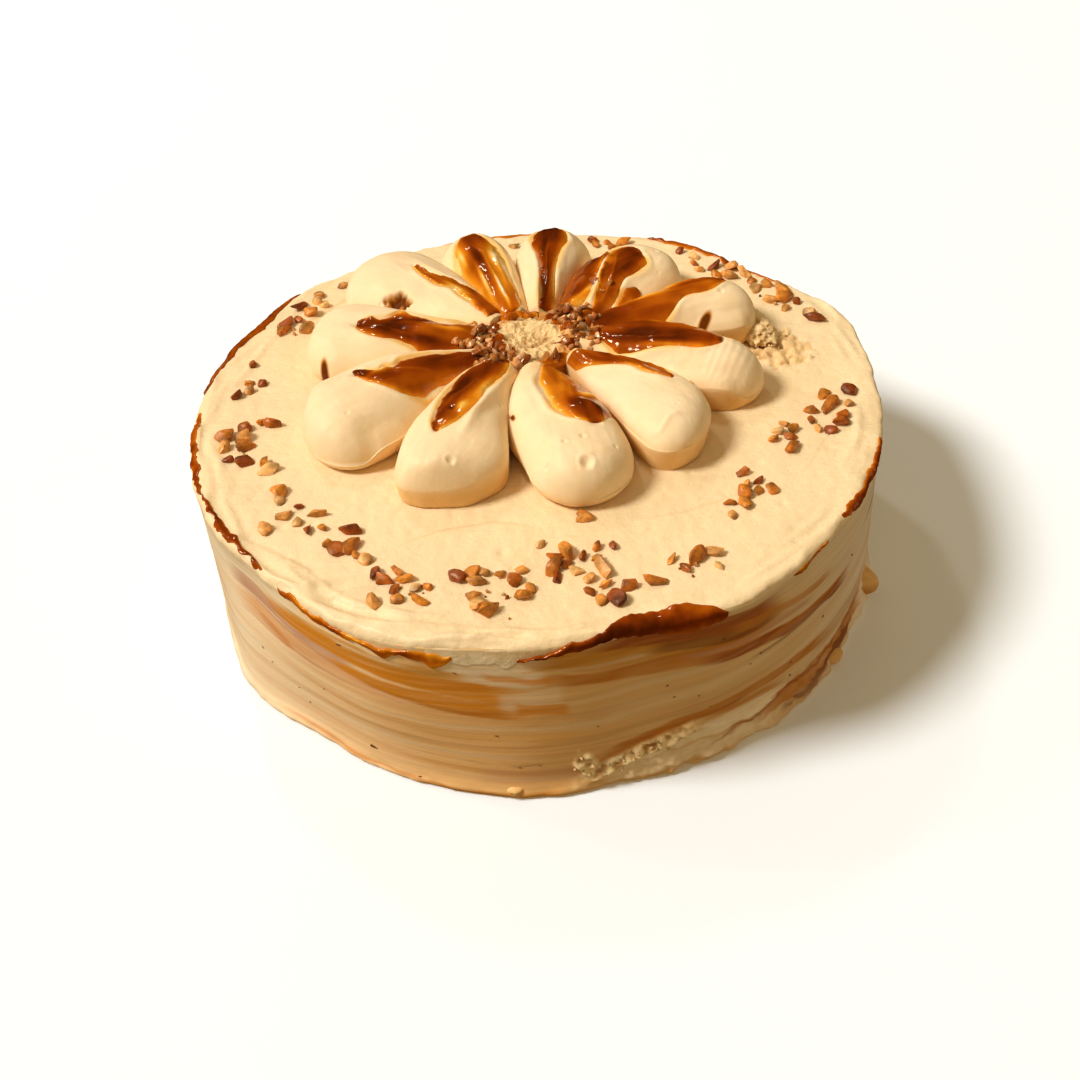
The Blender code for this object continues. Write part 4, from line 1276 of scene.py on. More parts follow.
def wall_skin(angles, heights):
    """The wall with its relief: scraper lines, slow bulges, a squeezed roll and a torn ledge at the foot."""
    smooth = wall_radius(angles, heights)
    points = polar_points(CAKE_RADIUS, angles, heights)
    relief = noise_sum(points, WALL_RELIEF)
    foot = bell(heights - 1.8, 2.2) * (0.65 + 0.75 * layered_noise(points, (11, 11, 5), 4))
    rough = window(angles, -88, -12, rise=8, fall=10) * smooth_step((15 - heights) / 8)
    torn = rough * (0.9 * layered_noise(points, (5.5, 5.5, 3.2), 5) + 0.5 * lattice_noise(points, 1.8, 6))
    line, shows = ledge_line(angles)
    ragged = line + 0.9 * lattice_noise(points, 3.0, 7)
    ledge = shows * 1.1 * smooth_step((ragged - heights) / 0.9) * smooth_step(heights / 4)
    ledge += torn_share(angles, heights) * (0.7 + 0.9 * layered_noise(points, 2.2, 9))
    settled = smooth_step((CAKE_HEIGHT - heights) / 3)
    return smooth + (relief + foot + torn) * (0.25 + 0.75 * settled) + ledge


def streak_cover(angles, heights, path, half_start, half_end, softness=0.9):
    """How strongly a drawn streak covers each place: full along its path, less at its edges and ends."""
    knots = np.array(path, float)
    middle = (knots[0, 0] + knots[-1, 0]) / 2
    at = middle + turn_from(angles, middle)
    along = (at - knots[0, 0]) / (knots[-1, 0] - knots[0, 0])
    line = np.interp(at, knots[:, 0], knots[:, 1])
    half = half_start + (half_end - half_start) * np.clip(along, 0.0, 1.0)
    ends = window(along, 0, 1, rise=0.18, fall=0.18)
    return ends * smooth_step((half - np.abs(heights - line)) / softness + 0.5)


def wall_tints(angles, heights):
    """The wall's colours: pale at the left, brown at the right, with fine level streaks and the drawn ones."""
    points = polar_points(CAKE_RADIUS, angles, heights)
    places, colours = zip(*WALL_BY_ANGLE)
    colours = np.array(colours)
    tints = np.stack([np.interp(angles, places, colours[:, channel]) for channel in range(3)], axis=-1)
    draw = random.Random(FINE_STREAK_SEED)
    for _ in range(FINE_STREAKS):
        start, run = draw.uniform(-180, 180), draw.uniform(18, 70)
        height, tilt, bend = draw.uniform(1, 62), draw.uniform(-2.5, 2.5), draw.uniform(-1.5, 1.5)
        colour = draw.choice(FINE_STREAK_COLOURS)
        path = ((start, height), (start + run / 2, height + tilt / 2 + bend), (start + run, height + tilt))
        cover = streak_cover(angles, heights, path, draw.uniform(0.3, 1.8), draw.uniform(0.3, 1.6))
        tints = blend_towards(tints, colour, draw.uniform(0.08, 0.30) * cover)
    broken = 0.78 + 0.22 * smooth_step(0.6 + 1.2 * lattice_noise(points, (13, 13, 1.2), 11))
    wander = noise_sum(points, STREAK_WANDER)
    for colour, strength, half_start, half_end, path in WALL_STREAKS:
        cover = streak_cover(angles, heights + wander, path, half_start, half_end)
        tints = blend_towards(tints, colour, strength * cover * broken)
    line, shows = ledge_line(angles)
    tints = blend_towards(tints, BROWN_OCHRE, 0.8 * shows * bell(heights - line - 3.8, 1.5))
    torn = torn_share(angles, heights)
    tints = blend_towards(tints, CRUMB_LIT, torn)
    browner = smooth_step(0.1 - 1.8 * layered_noise(points, 2.2, 9))
    tints = blend_towards(tints, CRUMB_BROWN, 0.8 * torn * browner)
    under_lid = smooth_step((heights - CAKE_HEIGHT + 2.5) / 2.0)
    return blend_towards(tints, TOP_ICING_WARM, 0.5 * under_lid)


def patch_share(x, y):
    """1 inside the torn patch of crumb, falling to 0 over its ragged edge."""
    angle, distance, half_length, half_width = TORN_PATCH
    out, across = turned_frame(x, y, (0, 0), angle)
    reach = np.hypot((out - distance) / half_width, across / half_length)
    reach += 0.35 * layered_noise(level_points(x, y), 5.0, 41)
    return smooth_step((1 - reach) / 0.25)


def rim_wrinkles(points):
    """Creases that run round the top near its rim: the sharp valleys of noise, deepest at the front left."""
    away, angles = np.hypot(points[..., 0], points[..., 1]), angles_of(points)
    near_rim = smooth_step((away - 102) / 9) * (0.35 + 0.65 * bell(turn_from(angles, -118), 34))
    wrinkled = level_points(away, angles * 2.0)
    valleys = lattice_noise(wrinkled, (4.6, 22.0, 9.0), 25)
    valleys = valleys + 0.3 * lattice_noise(wrinkled, (3.0, 9.0, 9.0), 27)
    return near_rim * (1 - 2.6 * np.abs(valleys) + 0.25 * lattice_noise(points, 5.0, 26))


def top_relief(x, y):
    """Relief of the iced top: slow swells, wrinkles, folds, steps, pits and the torn patch."""
    points = level_points(x, y)
    relief = noise_sum(points, TOP_RELIEF) + rim_wrinkles(points)
    for path, half_width, height in TOP_FOLDS:
        signed, along = from_path(x, y, polar_path(path))
        half_width = 0.8 * half_width * np.where(signed > 0, 1.0, 0.55)
        relief += 1.5 * height * bell(signed, half_width) * swelling(along, 0.6, least=0.02)
    for path, drop, reach in TOP_STEPS:
        signed, along = from_path(x, y, polar_path(path))
        edge = smooth_step(signed / 0.7 + 0.5) * np.exp(-np.maximum(signed, 0) / reach)
        relief -= drop * swelling(along, 0.5) * edge
    draw = random.Random(TOP_PIT_SEED)
    for _ in range(TOP_PITS):
        angle, distance = draw.uniform(-180, 180), TOP_PIT_REACH * math.sqrt(draw.uniform(0.25, 1.0))
        (px, py), = polar_path(((angle, distance),))
        size = draw.uniform(0.6, 1.7)
        relief -= draw.uniform(0.15, 0.5) * bell(np.hypot(x - px, y - py), size)
    crumbly = 2.6 * nearest_seed(points, 3.0, 42) - 1.5 + 1.3 * layered_noise(points, 2.6, 43)
    return relief + patch_share(x, y) * crumbly


def top_level(x, y):
    """Height of the iced top at one place."""
    return CAKE_HEIGHT + float(top_relief(np.array([x]), np.array([y]))[0])


def wall_at(angle, height):
    """Distance of the wall from the cake's axis at one place."""
    return float(wall_skin(np.array([float(angle)]), np.array([float(height)]))[0])


def top_tints(x, y):
    """The top's colours: pale, warmer in places, tan painted shade on the steps, browner in the torn patch's
    pores.
    """
    points = level_points(x, y)
    warm = 0.5 + 0.5 * lattice_noise(points, 40, 24)
    tints = blend_towards(TOP_ICING, TOP_ICING_WARM, 0.35 * warm)
    # Painted shade: a tan line along each step stands for the shade in its crease.
    for path, _, _ in TOP_STEPS:
        signed, along = from_path(x, y, polar_path(path))
        tints = blend_towards(tints, TAN, 0.30 * bell(signed, 0.55) * swelling(along))
    torn = patch_share(x, y)
    # The torn patch's pores are painted browner: partly the crumb's colour, partly painted shade.
    pores = smooth_step(1.3 - 2.4 * nearest_seed(points, 3.0, 42))
    tints = blend_towards(tints, CREAM_DEEP, 0.6 * torn)
    return blend_towards(tints, CRUMB_BROWN, 1.3 * torn * pores)


def lid_edge(angles):
    """The lid's outline: the wall's radius just under the rim, a ragged hair's breadth proud of it."""
    ragged = 0.60 * layered_noise(polar_points(CAKE_RADIUS, angles, CAKE_HEIGHT), 6, 31)
    return wall_skin(angles, np.full_like(angles, CAKE_HEIGHT - LID_ROUND)) + LID_PROUD + ragged


def lid_hang(angles):
    """How far the lid comes down the wall below its round edge."""
    points = polar_points(CAKE_RADIUS, angles, 0.0)
    hang = 1.2 + 0.8 * layered_noise(points, 12, 32) + waves_at(angles, LID_HANGS)
    return np.maximum(hang * (1 + 0.35 * layered_noise(points, 4.5, 33)), 0.3)


def over_rim(angles, v):
    """Places and outward directions on the lid, v millimetres over the rim from its edge's middle."""
    quarter = LID_ROUND * math.pi / 4
    lift = np.clip(math.pi / 4 * (1 - v / quarter), 0.0, math.pi / 2)
    edge = lid_edge(angles)
    inward, down = np.maximum(-v - quarter, 0.0), np.maximum(v - quarter, 0.0)
    heights = CAKE_HEIGHT - LID_ROUND * (1 - np.sin(lift)) - down
    radius = edge - LID_ROUND * (1 - np.cos(lift)) - inward
    hung = wall_skin(angles, heights) + 0.12
    radius = np.where(down > 0, hung + (radius - hung) * np.exp(-down / 3), radius)
    points = polar_points(radius, angles, heights)
    points[..., 2] += np.sin(lift) * top_relief(points[..., 0], points[..., 1])
    outward = polar_points(np.cos(lift), angles, np.sin(lift))
    return points, outward


def icing_top(finish):
    """The lid: a smoothed disc whose edge rolls over the rim and ends, ragged and thin, on the wall."""
    angles = np.linspace(-180, 180, LID_COLUMNS, endpoint=False)
    flat = lid_edge(angles) - LID_ROUND
    shares = np.concatenate([np.linspace(0.02, 0.36, 12), np.linspace(0.37, 1.0, 82)])
    radius = shares[:, None] * flat
    disc = polar_points(radius, angles, CAKE_HEIGHT)
    disc = lifted(disc, top_relief(disc[..., 0], disc[..., 1]))
    quarter = LID_ROUND * math.pi / 4
    turned = [over_rim(angles, np.full_like(angles, v))[0] for v in np.linspace(-quarter, quarter, 8)[1:]]
    hang = lid_hang(angles)
    hung = [over_rim(angles, quarter + hang * share)[0] for share in np.linspace(0.08, 1.0, 12)]
    tucked = hung[-1] - 0.8 * polar_points(1.0, angles, 0.0)
    inner = polar_points(CAKE_RADIUS - 12, angles, CAKE_HEIGHT - LID_DEPTH)
    rows = np.concatenate([disc, turned, hung, [tucked, inner]])
    points, faces = turned_shell(rows, (0, 0, top_level(0.0, 0.0)), (0, 0, CAKE_HEIGHT - LID_DEPTH))
    tints = top_tints(points[:, 0], points[:, 1])
    round_it = angles_of(points)
    share = np.clip((CAKE_HEIGHT - LID_ROUND - points[:, 2]) / np.maximum(lid_hang(round_it), 2.6), 0.0, 1.0)
    near_wall = np.hypot(points[:, 0], points[:, 1]) > CAKE_RADIUS - 10
    wall = wall_tints(round_it, points[:, 2])
    tints += (wall - tints) * (0.85 * smooth_step(share) * near_wall)[:, None]
    make_piece("icing_top", points, faces, tints, finish, ["cake"])


def icing_side(finish):
    """The scraped wall, with a small round at its foot and a closed top just under the lid."""
    angles = np.linspace(-180, 180, SIDE_COLUMNS, endpoint=False)
    highest = CAKE_HEIGHT - SIDE_SUNK
    heights = np.linspace(highest, FOOT_ROUND, SIDE_ROWS)
    grid_angles, grid_heights = np.meshgrid(angles, heights)
    wall = polar_points(wall_skin(grid_angles, grid_heights), grid_angles, grid_heights)
    shoulder = polar_points(CAKE_RADIUS - 14, angles, highest)
    foot_radius = wall_skin(angles, np.full_like(angles, FOOT_ROUND))
    foot = polar_points(foot_radius - 0.5, angles, 0.4)
    under = polar_points(foot_radius - FOOT_ROUND, angles, 0.0)
    rows = np.concatenate([[shoulder], wall, [foot, under]])
    points, faces = turned_shell(rows, (0, 0, highest), (0, 0, 0))
    tints = wall_tints(angles_of(points), points[:, 2])
    make_piece("icing_side", points, faces, tints, finish)


def foot_lumps(finish):
    """Lumps squeezed out at the foot: flattened balls, knocked out of true and darker towards the plate."""
    for number, (angle, width, height, proud) in enumerate(FOOT_LUMPS, start=1):
        ball = ball_points(85, 24, 40)
        ball *= 1 + 0.14 * layered_noise(ball, 0.8, 50 + number)[..., None]
        ball *= (2 * proud, width / 2, height / 2)
        ball += (CAKE_RADIUS + FOOT_FLARE / 2 - proud, 0.0, height / 2 + GAP)
        x, y = turned_back(ball[..., 0], ball[..., 1], (0, 0), angle)
        points, faces = capped_shell(np.stack([x, y, np.maximum(ball[..., 2], 0.1)], axis=-1))
        low = smooth_step(1.1 - 1.6 * points[:, 2] / height + 0.4 * layered_noise(points, 4, 60))
        tints = blend_towards(CREAM_DEEP, BROWN_OCHRE, 0.8 * low)
        make_piece(f"foot_lump_{number}", points, faces, tints, finish)


def caramel_colours(share):
    """Amber at 0 to dark brown at 1; below 0 the cream under the caramel shows through."""
    return blend_towards(between_stops(np.clip(share, 0.0, 1.0), CARAMEL_STOPS), CREAM_WARM, -share / 0.3)


def caramel_tints(brown, across, points, run_scale, seed):
    """Amber where the caramel is thin, at its edges, and browner where it lies thick or runs together."""
    runs = lattice_noise(points, run_scale, seed) * 0.20 + layered_noise(points, 3.0, seed + 1) * 0.10
    return caramel_colours(np.maximum(brown + 0.26 * (0.55 - np.abs(across) ** 1.5) + runs, 0.0))


def rim_caramel(finish):
    """Caramel that ran over the rim: a film between its two edges, rounded where it ends."""
    for number, (name, (thickness, brown, knots)) in enumerate(RIM_CARAMEL.items()):
        knots = np.array(knots, float)
        span = knots[-1, 0] - knots[0, 0]
        angles = np.linspace(knots[0, 0], knots[-1, 0], int(span * 7))
        inner, outer = through_knots(knots, angles)
        path = level_points(angles * 2.0)
        inner = inner + 0.75 * layered_noise(path, 5.0, 70 + number)
        outer = outer + 1.00 * layered_noise(path, 4.0, 80 + number)
        across = across_strip(RIM_COLUMNS)
        v = (inner + outer)[:, None] / 2 + (outer - inner)[:, None] / 2 * across
        grid_angles = np.broadcast_to(angles[:, None], v.shape)
        skin, outward = over_rim(grid_angles, v)
        ends = rounded_end(from_ends(angles), RIM_ROUND)[:, None]
        uneven = 1 + 0.35 * lattice_noise(skin, 9.0, 90 + number)
        level = (thickness * uneven + POOL_SUNK) * fullness(across, 5) * ends - POOL_SUNK
        points, faces = slab(skin - FILM * outward, skin + level[..., None] * outward)
        tints = caramel_tints(brown, np.tile(across, 2 * len(angles)), points, 7.0, 100 + number)
        make_piece(f"rim_caramel_{name}", points, faces, tints, finish)


# ---- The flower ----


class Channel:
    """A spoon-drawn channel in a petal, between the two edges of the caramel that it holds."""

    def __init__(self, name):
        self.petal, self.depth, self.thickness, self.brown, knots = POOLS[name]
        self.knots = np.array(knots, float)
        self.start, self.end = self.knots[0, 0], self.knots[-1, 0]
        self.seed = 200 + 7 * int(name[:2]) + len(name)

    def middle_and_half(self, s):
        """The middle of the caramel's width at each s, and half of that width."""
        low, high = through_knots(self.knots, s)
        return (low + high) / 2, np.maximum((high - low) / 2, 0.5)

    def bowl(self, s, x):
        """Depth of the channel at each place: a shallow bowl across, fading in and out along the petal."""
        middle, half = self.middle_and_half(s)
        fade = smooth_step((self.end + 3.0 - s) / 6.0)
        hollow = np.clip(1 - ((x - middle) / (CHANNEL_SPREAD * half)) ** 2, 0.0, 1.0)
        return CHANNEL_DEEPEST * self.depth * fade * hollow

    def lips(self, s, x):
        """Cream pushed up along both edges of the channel, and a stain of caramel just outside them."""
        middle, half = self.middle_and_half(s)
        beyond = np.abs(x - middle) - CHANNEL_SPREAD * half
        fade = window(s, self.start + 3, self.end + 1, rise=6, fall=5)
        stain = smooth_step((self.end + 1.0 - s) / 2.0) * bell(np.maximum(beyond, 0), 0.9)
        return 0.55 * bell(beyond - 0.9, 1.3) * fade, stain


class Petal:
    """One piped petal with its channels, marks and relief."""

    def __init__(self, number):
        self.number = number
        self.angle, self.length, self.height, self.round, self.bluntness, self.chin, sides = PETALS[number]
        self.knots = np.array(sides, float)
        self.channels = {name: Channel(name) for name in POOLS if POOLS[name][0] == number}
        self.widest = WIDEST_AT.get(number, USUAL_WIDEST)
        self.nose, self.turn_in = NOSES.get(number, USUAL_NOSE)
        self.base = BASE_WIDTHS.get(number, USUAL_BASE)

    def tip(self, s):
        """1 along the petal, falling to 0 at its end along a rounded curve."""
        past = np.clip((s - self.length + self.round) / self.round, 0.0, 1.0)
        return (1 - past**self.bluntness) ** (1 / self.bluntness)

    def section(self, s):
        """The middle of the petal's width at each s, and half of that width."""
        right, left = through_knots(self.knots, s)
        return (right + left) / 2, (left - right) / 2 * self.tip(s)

    def crown(self, s):
        """Height of the petal's back along its middle."""
        swell = smooth_step((s - PETAL_START) / (0.6 * (self.length - PETAL_START)))
        full = self.height * (INNER_HEIGHT + (1 - INNER_HEIGHT) * swell)
        return self.widest + (full - self.widest) * self.tip(s) ** self.nose

    def widest_line(self, s, side):
        """Height of the widest line at each s, on the side that runs from -1 (right) to 1 (left)."""
        if self.number not in RAISED_SIDES:
            return self.widest + 0.0 * (s + side)
        which, start, end, extra = RAISED_SIDES[self.number]
        raised = window(s, start, end, rise=12, fall=9) * smooth_step((which * side - 0.3) / 0.6)
        return self.widest + extra * raised

    def relief(self, s, x):
        """Small forms in the cream: swells, pits with a raised rim, ridges, nozzle rings, a torn hole."""
        points = level_points(s, x)
        relief = noise_sum(points, PETAL_RELIEF, self.number)
        relief += 0.07 * layered_noise(points, (5, 1.6, 9), 330 + self.number)
        for ps, px, radius, depth in PITS.get(self.number, ()):
            away = np.hypot(s - ps, x - px) / radius
            relief += depth * (0.25 * bell(away - 1.3, 0.4) - bell(away, 0.75))
        for path, half_width, height in RIDGES.get(self.number, ()):
            signed, along = from_path(s, x, path)
            relief += height * bell(signed, half_width) * swelling(along, 0.6, least=0.03)
        if self.number in NOZZLE_RINGS:
            start, end, spacing, height = NOZZLE_RINGS[self.number]
            bowed = s + 0.018 * x**2
            rings = np.sin(2 * np.pi * bowed / spacing)
            relief += height * window(s, start, end, rise=5, fall=4) * rings
        if self.number == TORN_HOLE_PETAL:
            relief -= self.hole_share(s, x) * TORN_HOLE[-1]
        return relief

    def hole_share(self, s, x):
        """1 inside the torn hole, falling to 0 at its ragged edge."""
        hole_s, hole_x, lean, half_length, half_width, _ = TORN_HOLE
        along, across = turned_frame(s, x, (hole_s, hole_x), lean)
        away = np.hypot(along / half_length, across / half_width)
        return smooth_step((1 - away - 0.30 * layered_noise(level_points(s, x), 1.8, 340)) / 0.5)

    def side(self, s, x):
        """Where each place lies across the petal, from -1 at its right edge to 1 at its left."""
        middle, half = self.section(s)
        return np.clip((x - middle) / np.maximum(half, 1e-6), -1.0, 1.0)

    def top(self, s, x):
        """The upper surface: a dome over the half width, less the channels, with the small forms."""
        side = self.side(s, x)
        widest = self.widest_line(s, side)
        front = CREASED.get(self.number, 0.0) * smooth_step((s - self.length + self.round + 4) / 9)
        pressed = np.clip((widest - self.widest) / 3.0, 0.0, 1.0)
        dome = np.clip(1 - np.abs(side) ** 2.5, 0.0, 1.0) ** (0.5 + 0.5 * np.maximum(front, 0.9 * pressed))
        height = widest + (self.crown(s) - widest) * dome
        channels = self.channels.values()
        bowls = np.max([channel.bowl(s, x) for channel in channels], axis=0)
        height = height - bowls * np.minimum(1, 1.5 * dome)
        height = height + np.max([channel.lips(s, x)[0] for channel in channels], axis=0) * dome
        return height + self.relief(s, x) * np.minimum(1, 1.4 * dome) * self.tip(s) ** 0.5

    def place(self, s, x, z):
        """Points of the petal's frame as points on the cake."""
        s, x, z = np.broadcast_arrays(s, x, z)
        return np.stack([*turned_back(s, x, FLOWER_CENTRE, self.angle), CAKE_HEIGHT + GAP + z], axis=-1)

    def own_frame(self, x, y):
        """Places on the cake as s and x of the petal's frame."""
        return turned_frame(x, y, FLOWER_CENTRE, self.angle)

    def covers(self, x, y, clear):
        """Whether that place on the cake's top is under the petal or within the clearance of it."""
        s, across = self.own_frame(x, y)
        if not PETAL_START - clear < s < self.length + clear:
            return False
        reach = np.linspace(s - clear, s + clear, 5).clip(PETAL_START, self.length - 1)
        middle, half = self.section(reach)
        return bool(np.any(np.abs(across - middle) < half + clear))

    def tints(self, s, x, z):
        """The cream's colours: mottled, painted shade under the widest line, and stained by caramel."""
        points = level_points(s, x)
        warm = 0.5 + 0.5 * lattice_noise(points, 18, 360 + self.number)
        tints = blend_towards(CREAM_PALE, CREAM_WARM, 0.5 * warm)
        # Painted shade: the cream is deepened from a little above the widest line downwards.
        shade = CHIN_PAINTED_SHADES.get(self.number, USUAL_CHIN_PAINTED_SHADE)
        widest = self.widest_line(s, self.side(s, x))
        tints = blend_towards(tints, CREAM_DEEP, shade * smooth_step((widest + 3.0 - z) / 6.5))
        tints = blend_towards(tints, CREAM_DEEP, 0.35 * smooth_step((30 - s) / 12))
        mottled = smooth_step(0.5 + 1.1 * layered_noise(points, (7, 4, 9), 370 + self.number))
        tints = blend_towards(tints, CREAM_DEEP, 0.10 * mottled)
        patchy = smooth_step(0.55 + 0.9 * lattice_noise(points, (6, 3, 3), 380 + self.number))
        for channel in self.channels.values():
            tints = blend_towards(tints, CARAMEL_STOPS[0], 0.75 * channel.lips(s, x)[1] * patchy)
        if self.number == TORN_HOLE_PETAL:
            hole = self.hole_share(s, x)
            flecks = smooth_step(0.9 + 1.2 * lattice_noise(points, 1.3, 341))
            tints = blend_towards(tints, BROWN_OCHRE, 2.4 * hole)
            tints = blend_towards(tints, DEEP_BROWN, 2.4 * (hole - 0.3) * flecks)
        # Brown marks painted on the cream, darkest in their middles.
        for spot_s, spot_x, lean, half_length, half_width in BROWN_MARKS.get(self.number, ()):
            along, across = turned_frame(s, x, (spot_s, spot_x), lean)
            stain = smooth_step(1.6 - 1.4 * np.hypot(along / half_length, across / half_width))
            tints = blend_towards(tints, BROWN_OCHRE, 2.0 * stain)
            tints = blend_towards(tints, DEEP_BROWN, 2.4 * (stain - 0.4))
        return tints


def piped_petal(petal, finish):
    """A loft over the petal: its dome in even steps, then the slope under it down to its foot."""
    straight = np.linspace(PETAL_START, petal.length - petal.round, PETAL_ROWS)
    tip = petal.length - petal.round + petal.round * np.sin(np.linspace(0, math.pi / 2, TIP_ROWS))[1:]
    s = np.concatenate([straight, tip])
    middle, half = petal.section(s)
    wander = 0.45 * lattice_noise(level_points(s), 11, petal.number) * petal.tip(s)
    middle = (middle + wander)[:, None]
    around = np.sin(np.linspace(-math.pi / 2, math.pi / 2, PETAL_COLUMNS))[None, :]
    x = middle + half[:, None] * around
    s = s[:, None]
    upper_s = np.broadcast_to(s, x.shape)
    upper = petal.place(upper_s, x, petal.top(upper_s, x))
    down = np.linspace(0, 1, FLANK_ROWS)[1:][None, :]
    flanks = []
    for edge, side in ((x[:, -1:], 1), (x[:, :1], -1)):
        across = middle + (edge - middle) * (1 - (1 - petal.base) * down**max(petal.turn_in, 1.3))
        past = (s - petal.length + petal.round) / petal.round
        back = petal.chin * smooth_step(1.25 * past) * down**petal.turn_in
        level = petal.widest_line(s, side) * (1 - down)
        flanks.append(petal.place(s - back, across, level))
    rings = np.concatenate([upper, flanks[0], flanks[1][:, ::-1]], axis=1)
    count, columns = rings.shape[:2]
    cap = petal.place(np.array(PETAL_START), middle[0, 0], np.array(petal.widest))
    points = np.concatenate([rings.reshape(-1, 3), cap[None, :]])
    faces = grid_faces(count, columns, closed=True) + fan_faces(np.arange(columns), count * columns)
    s_all, x_all = petal.own_frame(points[:, 0], points[:, 1])
    tints = petal.tints(s_all, x_all, points[:, 2] - CAKE_HEIGHT - GAP)
    name = f"petal_{petal.number:02d}"
    make_piece(f"cream_{name}", points, faces, tints, finish, [name])


def caramel_pool(petal, channel, name, finish, stands_for):
    """Caramel lying in a channel: thickest along its middle, rippled as it flowed, rounded at its edges."""
    rows = int((channel.end - channel.start) * POOL_ROWS)
    s = np.linspace(channel.start, channel.end, rows)
    middle, half = channel.middle_and_half(s)
    low = middle - half + 0.60 * layered_noise(level_points(s), 5.6, channel.seed)
    high = middle + half + 0.60 * layered_noise(level_points(s), 5.0, channel.seed + 1)
    across = across_strip(POOL_COLUMNS)
    x = (low + high)[:, None] / 2 + (high - low)[:, None] / 2 * across
    room, half_room = petal.section(s)
    x = np.clip(x, (room - 0.95 * half_room)[:, None], (room + 0.95 * half_room)[:, None])
    grid_s = np.broadcast_to(s[:, None], x.shape)
    floor = petal.top(grid_s, x)
    rounding = rounded_end(from_ends(s), POOL_ROUND)[:, None]
    filling = smooth_step(from_ends(s) / 6.0)[:, None] * 0.65 + 0.35
    lip = (POOL_LIP + POOL_SUNK) * fullness(across, 6) * rounding - POOL_SUNK
    body = (channel.thickness - POOL_LIP) * (1 - across**2) * filling
    flow = level_points(grid_s, x)
    folded = 1 - 2 * np.abs(lattice_noise(flow, (15, 4.2, 9), channel.seed + 2))
    ripples = 0.28 * folded + 0.12 * lattice_noise(flow, (5, 2.4, 9), channel.seed + 3)
    share = channel.brown + 0.50 * (0.46 - np.abs(across) ** 3) + POOL_LEANS.get(name, 0.0) * across
    share = share + 0.24 * lattice_noise(flow, (12, 4.6, 9), channel.seed + 4)
    share = share + 0.07 * layered_noise(flow, (9, 2.2, 9), channel.seed + 5)
    for spot_s, spot_x, reach_s, reach_x, browner, higher in POOL_SPOTS.get(name, ()):
        here = bell(np.hypot((grid_s - spot_s) / reach_s, (x - spot_x) / reach_x), 1.0)
        share, ripples = share + browner * here, ripples + higher * here
    for path, half_width, height in POOL_CREASES.get(name, ()):
        signed, run = from_path(grid_s, x, path)
        crest = bell(signed, half_width) * swelling(run, 0.5)
        # Painted highlight: the caramel is made paler along each crease's crest, which is also raised.
        share, ripples = share - 0.14 * crest, ripples + height * crest
    level = floor + lip + body + ripples * (1 - across**4) * rounding
    below = petal.place(grid_s, x, floor - FILM)
    points, faces = slab(below, petal.place(grid_s, x, np.maximum(level, floor - 0.3)))
    tints = caramel_colours(np.concatenate([share, share]))
    make_piece(f"caramel_pool_{name}", points, faces, tints, finish, stands_for)


def torn_crumb(points):
    """Height of the torn sponge over its general level: lumps, and pores between them."""
    flat = points * (1, 1, 0)
    pores = smooth_step(1.2 - 2.4 * nearest_seed(flat, 2.4, 402))
    return 1.3 * layered_noise(flat, 6.5, 401) + 0.60 * layered_noise(flat, 1.9, 404) - 0.9 * pores


def torn_clump(petal, finish):
    """Torn crumb at the tip of a petal: a flattened ball, pitted all over."""
    place_s, place_x, level, half_s, half_x, half_z = TORN_CLUMP
    flat = ball_points(88, 60, 110) * (half_s, half_x, half_z)
    pores = smooth_step(1.3 - 2.2 * nearest_seed(flat, 3.0, 451))
    rough = 0.20 * layered_noise(flat, 5.0, 450) + 0.08 * layered_noise(flat, 1.6, 452) - 0.16 * pores
    flat = flat * (1 + rough[..., None])
    heights = np.maximum(flat[..., 2] + level, -0.2)
    points, faces = capped_shell(petal.place(flat[..., 0] + place_s, flat[..., 1] + place_x, heights))
    # The pits are painted deeper and browner: partly the crumb's colour, partly painted shade.
    pitted = 0.8 * np.append(pores.ravel(), [0.0, 0.0]) + 0.4 * layered_noise(points, 3.0, 453)
    tints = blend_towards(CRUMB_TORN, CREAM_DEEP, pitted)
    tints = blend_towards(tints, CRUMB_BROWN, 0.3 * pitted)
    make_piece("torn_clump", points, faces, tints, finish)


def heap_height(radius, points):
    """The heap's profile with the crumb's lumps and pores on it."""
    radii, heights = zip(*HEAP_PROFILE)
    profile = np.interp(radius, radii, heights)
    dish = -1.6 * bell(radius, 8.0)
    inside = smooth_step((radii[-1] - radius) / 4)
    return np.maximum(profile + (torn_crumb(points) + dish) * inside, 0.0)


def heap_of_crumbs(finish):
    """The heap in the flower's middle: a turned profile, lumpy and porous, darker in its pits, stained at its
    edge.
    """
    angles = np.linspace(-180, 180, HEAP_COLUMNS, endpoint=False)
    radii = np.linspace(0.03, 1.0, HEAP_ROWS) ** 0.9 * HEAP_REACH
    radius, turn = np.meshgrid(radii, angles, indexing="ij")
    flat = polar_points(radius, turn, 0.0)
    rows = np.concatenate([lifted(flat, heap_height(radius, flat)), [polar_points(HEAP_FOOT, angles, 0.0)]])
    top = (0, 0, float(heap_height(np.zeros(1), np.zeros((1, 3)))[0]))
    points, faces = turned_shell(rows, top, (0, 0, 0))
    away = np.hypot(points[:, 0], points[:, 1])
    # Darker brown in the pits, paler on the lumps: partly the crumb's own colour, partly painted shade and
    # highlight.
    pores = smooth_step(0.05 - 0.75 * torn_crumb(points))
    tints = blend_towards(CRUMB_PALE, CRUMB_BROWN, 0.85 * pores)
    sideways = np.abs(np.cos(np.radians(angles_of(points) - 8)))
    stain = smooth_step((away - 13.5 + 3.5 * sideways) / 3 + 1.1 * layered_noise(points, 5, 403))
    tints = blend_towards(tints, CARAMEL_STOPS[1], 0.7 * stain)
    make_piece("heap_of_crumbs", points + FLOWER_FOOT, faces, tints, finish, ["flower_centre"])


